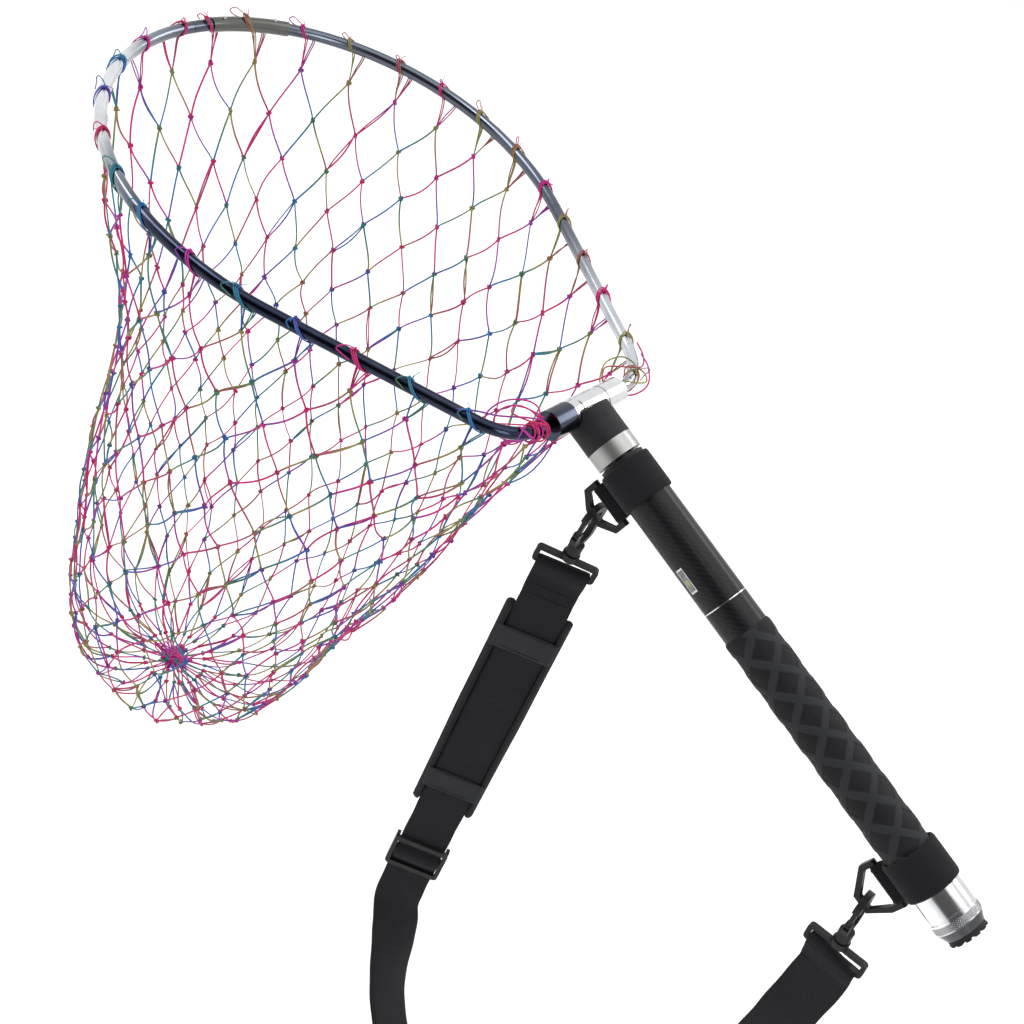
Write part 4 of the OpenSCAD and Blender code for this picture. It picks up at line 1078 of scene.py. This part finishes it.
def build_rim(columns, knots):
    """Twine drawn over the tube at each column and down to the first knots, with slack ears and frayed ends
    on top, and slack loops beside the hinge. What hangs below the tube is a piece of its own."""
    batch, legs = Batch(), Batch()
    up = np.array([0, 0, 1.0])
    for k, u in enumerate(columns):
        if abs(u) <= BASE_HALF:
            continue
        centre, along, out = column_frame(u)
        hues = (0.68, 0.78, 0.05, 0.66, 0.72, 0.10) if u > 0 else (0.40, 0.13, 0.37, 0.42, 0.97, 0.30)
        ph = hues[k % 6] if HALF_LEN - abs(u) > 60 else (0.95, 0.02, 0.90)[k % 3]
        thick = 5.6 if u > 0 and 16 < HALF_LEN - u < 88 else 4.5

        def at(angle, lift, reach):
            a = math.radians(angle)
            return centre + (thick + 0.7 + lift) * (math.cos(a) * out + math.sin(a) * up) + reach * along

        # Two or three strands pass over the tube at a slant and meet in the first knot below it
        knot = knots[1, k]
        lean = RNG.uniform(0.75, 1.15)
        for strand in range(3 if RNG.random() < 0.35 else 2):
            gap = 1.5 * strand
            loose = RNG.uniform(0.0, 0.9) * (strand > 0)
            turn = [(222, 9), (190, 12), (155, 14.5), (120, 16.5), (90, 17), (60, 15.5), (30, 12.5), (0, 9),
                    (-30, 5.5), (-60, 2), (-85, -1)]
            points = [at(a, 0.05 + loose * (a > 0) * (a < 150), lean * x - 6 + gap) for a, x in turn]
            first = knot + (points[0] - knot) * 0.5 + RNG.normal(size=3) * 0.5
            final = knot + (points[-1] - knot) * 0.5 + RNG.normal(size=3) * 0.5
            p = spline(np.array([knot, first, *points, final, knot]), 4)
            hue = ph + 0.04 * strand + np.linspace(-0.06, 0.10, len(p))
            for part, target in ((slice(0, 10), legs), (slice(8, -8), batch), (slice(-10, None), legs)):
                tube(target, world_of(p[part]), 0.52 * MM, 6, hue[part])
        # A slack ear of twine on top, a small knot and two frayed ends
        top = 17 * lean - 6
        size = RNG.uniform(0.35, 1.0)
        ear = [at(95, 0.5, top - 1), at(80, 3.0 * size, top + 4 * size), at(60, 5.5 * size, top + 9 * size),
               at(40, 3.6 * size, top + 12 * size), at(25, 0.8, top + 8 * size), at(8, 0.3, top + 1)]
        p = spline(np.array(ear), 6)
        tube(batch, world_of(p), 0.42 * MM, 6, ph + 0.05 + np.linspace(0, 0.12, len(p)))
        tube(batch, knot_curve(world_of(at(92, 0.8, top)), 1.05 * MM, 5000 + k), 0.5 * MM, 5,
             np.full(14, ph + 0.04), closed=True)
        for _ in range(2):
            d, e = unit(RNG.normal(size=3) + up * 0.5), unit(RNG.normal(size=3))
            spot = at(92, 0.8, top)
            p = spline(np.array([spot, spot + d * 2.0, spot + d * 3.4 + e * 1.8, spot + d * 4.0 + e * 3.6]), 4)
            tube(batch, world_of(p), 0.26 * MM, 4, ph + np.linspace(0, 0.1, len(p)))
    # Bunch of turns beside the near ferrule
    for k in range(7):
        u = BASE_HALF + 0.5 + 2.3 * k
        x, y, heading = hoop_at(u)
        r = 5.5 + 0.7 * (k % 3)
        a = np.linspace(0, TAU, 25)[:-1]
        along = np.array([math.cos(heading), -math.sin(heading), 0.0])
        out = np.array([-along[1], along[0], 0.0])
        p = (np.array([x, -y, -0.3]) + r * (np.cos(a)[:, None] * out + np.sin(a)[:, None] * up)
             + 2.4 * math.sin(2 * k) * np.sin(a)[:, None] * along)
        tube(batch, world_of(p), 0.62 * MM, 6, np.full(24, (0.02, 0.07, 0.95, 0.14)[k % 4]), closed=True)
    slack = [
        [(6, -46, 5), (14, -52, 9), (22, -62, 8), (24, -70, 1), (16, -72, -8), (8, -62, -12), (4, -50, -6)],
        [(4, -50, 5), (10, -44, 9), (20, -44, 7), (30, -52, 1), (34, -60, -10), (28, -66, -20)],
        [(4, -42, -5), (12, -38, -12), (22, -36, -22), (34, -34, -34), (40, -24, -44)],
        [(3, -46, 6), (9, -58, 8), (20, -74, 6), (30, -86, 6), (38, -97, 5)],
        [(2, 46, 6), (-5, 54, 7), (-7, 64, 6), (0, 71, 5), (9, 70, 4), (10, 60, 5), (5, 52, 5)],
        [(6, 40, -6), (10, 34, 2), (16, 40, 8), (10, 56, 8), (4, 70, 8), (12, 84, 6), (24, 92, 5)],
        [(14, 30, -10), (6, 46, -12), (-6, 58, -6), (-8, 68, 2), (2, 78, 6), (14, 84, 6)],
        [(-2, -48, 7), (4, -60, 10), (16, -66, 9), (20, -56, 8), (12, -48, 7), (4, -44, 6)],
        [(2, -44, -6), (10, -50, -16), (22, -58, -22), (30, -70, -18), (34, -82, -8), (36, -92, 0)],
        [(0, 60, 7), (8, 64, 10), (18, 62, 8), (22, 52, 2), (16, 44, -6), (8, 40, -8)],
    ]
    hues = (0.03, 0.08, 0.95, 0.16, 0.66, 0.75, 0.05, 0.98, 0.88, 0.60)
    for points, ph in zip(slack, hues):
        p = spline(np.array(points, float), 8)
        target = legs if p[:, 2].min() < -12.5 else batch
        tube(target, world_of(p), 0.62 * MM, 6, ph + np.linspace(0, 0.14, len(p)))
    rim = batch.build("net_rim_turns", TWINE, "hoop", "net_twine", "phase")
    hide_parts("rim_loops")
    hung = legs.build("net_rim_legs", TWINE, "hoop", "net_twine", "phase")
    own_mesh(hung)


build_net()

# ---------------------------------------------------------------- stage and light

FLOOR_Z = float(CAD_BOX[0][2]) - 0.045


def build_floor():
    s = Shader("floor_paper", 0.85, 0.0, (0.93, 0.93, 0.93))
    p = s.coords()
    tone = s.mix(s.noise(p, 2.5), (0.925, 0.925, 0.925), (0.945, 0.945, 0.945))
    s.done(tone, None, s.bump(s.noise(p, 300.0), 0.05, 0.0002))
    mesh = bpy.data.meshes.new("floor")
    h = 14.0
    mesh.from_pydata([(-h, -h, FLOOR_Z), (h, -h, FLOOR_Z), (h, h, FLOOR_Z), (-h, h, FLOOR_Z)], [], [(0, 1, 2, 3)])
    floor = bpy.data.objects.new("floor", mesh)
    mesh.materials.append(s.mat)
    bpy.context.scene.collection.objects.link(floor)


build_floor()
bpy.context.scene.view_settings.view_transform = "Standard"


def build_world():
    """White all round, with a grey patch on the viewer's side that polished metal mirrors."""
    world = bpy.data.worlds.new("studio")
    bpy.context.scene.world = world
    world.use_nodes = True
    tree = world.node_tree
    back = tree.nodes["Background"]
    place = tree.nodes.new("ShaderNodeTexCoord")
    dot = tree.nodes.new("ShaderNodeVectorMath")
    dot.operation = "DOT_PRODUCT"
    dot.inputs[1].default_value = (0.25, -0.72, 0.65)
    fade = tree.nodes.new("ShaderNodeMapRange")
    fade.interpolation_type = "SMOOTHSTEP"
    for k, value in enumerate((0.60, 0.86, 1.0, 0.10)):
        fade.inputs[k + 1].default_value = value
    tree.links.new(place.outputs[0], dot.inputs[0])
    tree.links.new(dot.outputs[1], fade.inputs[0])
    tree.links.new(fade.outputs[0], back.inputs[1])
    back.inputs[0].default_value = (1, 1, 1, 1)


build_world()


def softbox(name, place, aim, size, power):
    """A rectangular area light at a place, facing its aim."""
    data = bpy.data.lights.new(name, "AREA")
    data.shape = "RECTANGLE"
    data.size, data.size_y, data.energy = size[0], size[1], power
    light = bpy.data.objects.new(name, data)
    place, aim = np.array(place, float), np.array(aim, float)
    z = unit(place - aim)
    x = unit(np.cross([0.0, 0.0, 1.0], z))
    y = np.cross(z, x)
    m = Matrix.Identity(4)
    for i in range(3):
        m[i][0], m[i][1], m[i][2], m[i][3] = x[i], y[i], z[i], place[i]
    light.matrix_world = m
    bpy.context.scene.collection.objects.link(light)


AIM = (-0.25, 0, -0.15)
softbox("key", (-1.7, -0.6, 2.0), AIM, (0.9, 1.6), 30)
softbox("fill", (1.9, -0.9, 1.2), AIM, (0.7, 1.6), 16)
softbox("rim", (0.4, 2.0, 1.6), AIM, (1.6, 0.8), 16)
sun = bpy.data.lights.new("sky", "SUN")
sun.energy, sun.angle = 0.8, math.radians(60)
sun_object = bpy.data.objects.new("sky", sun)
bpy.context.scene.collection.objects.link(sun_object)
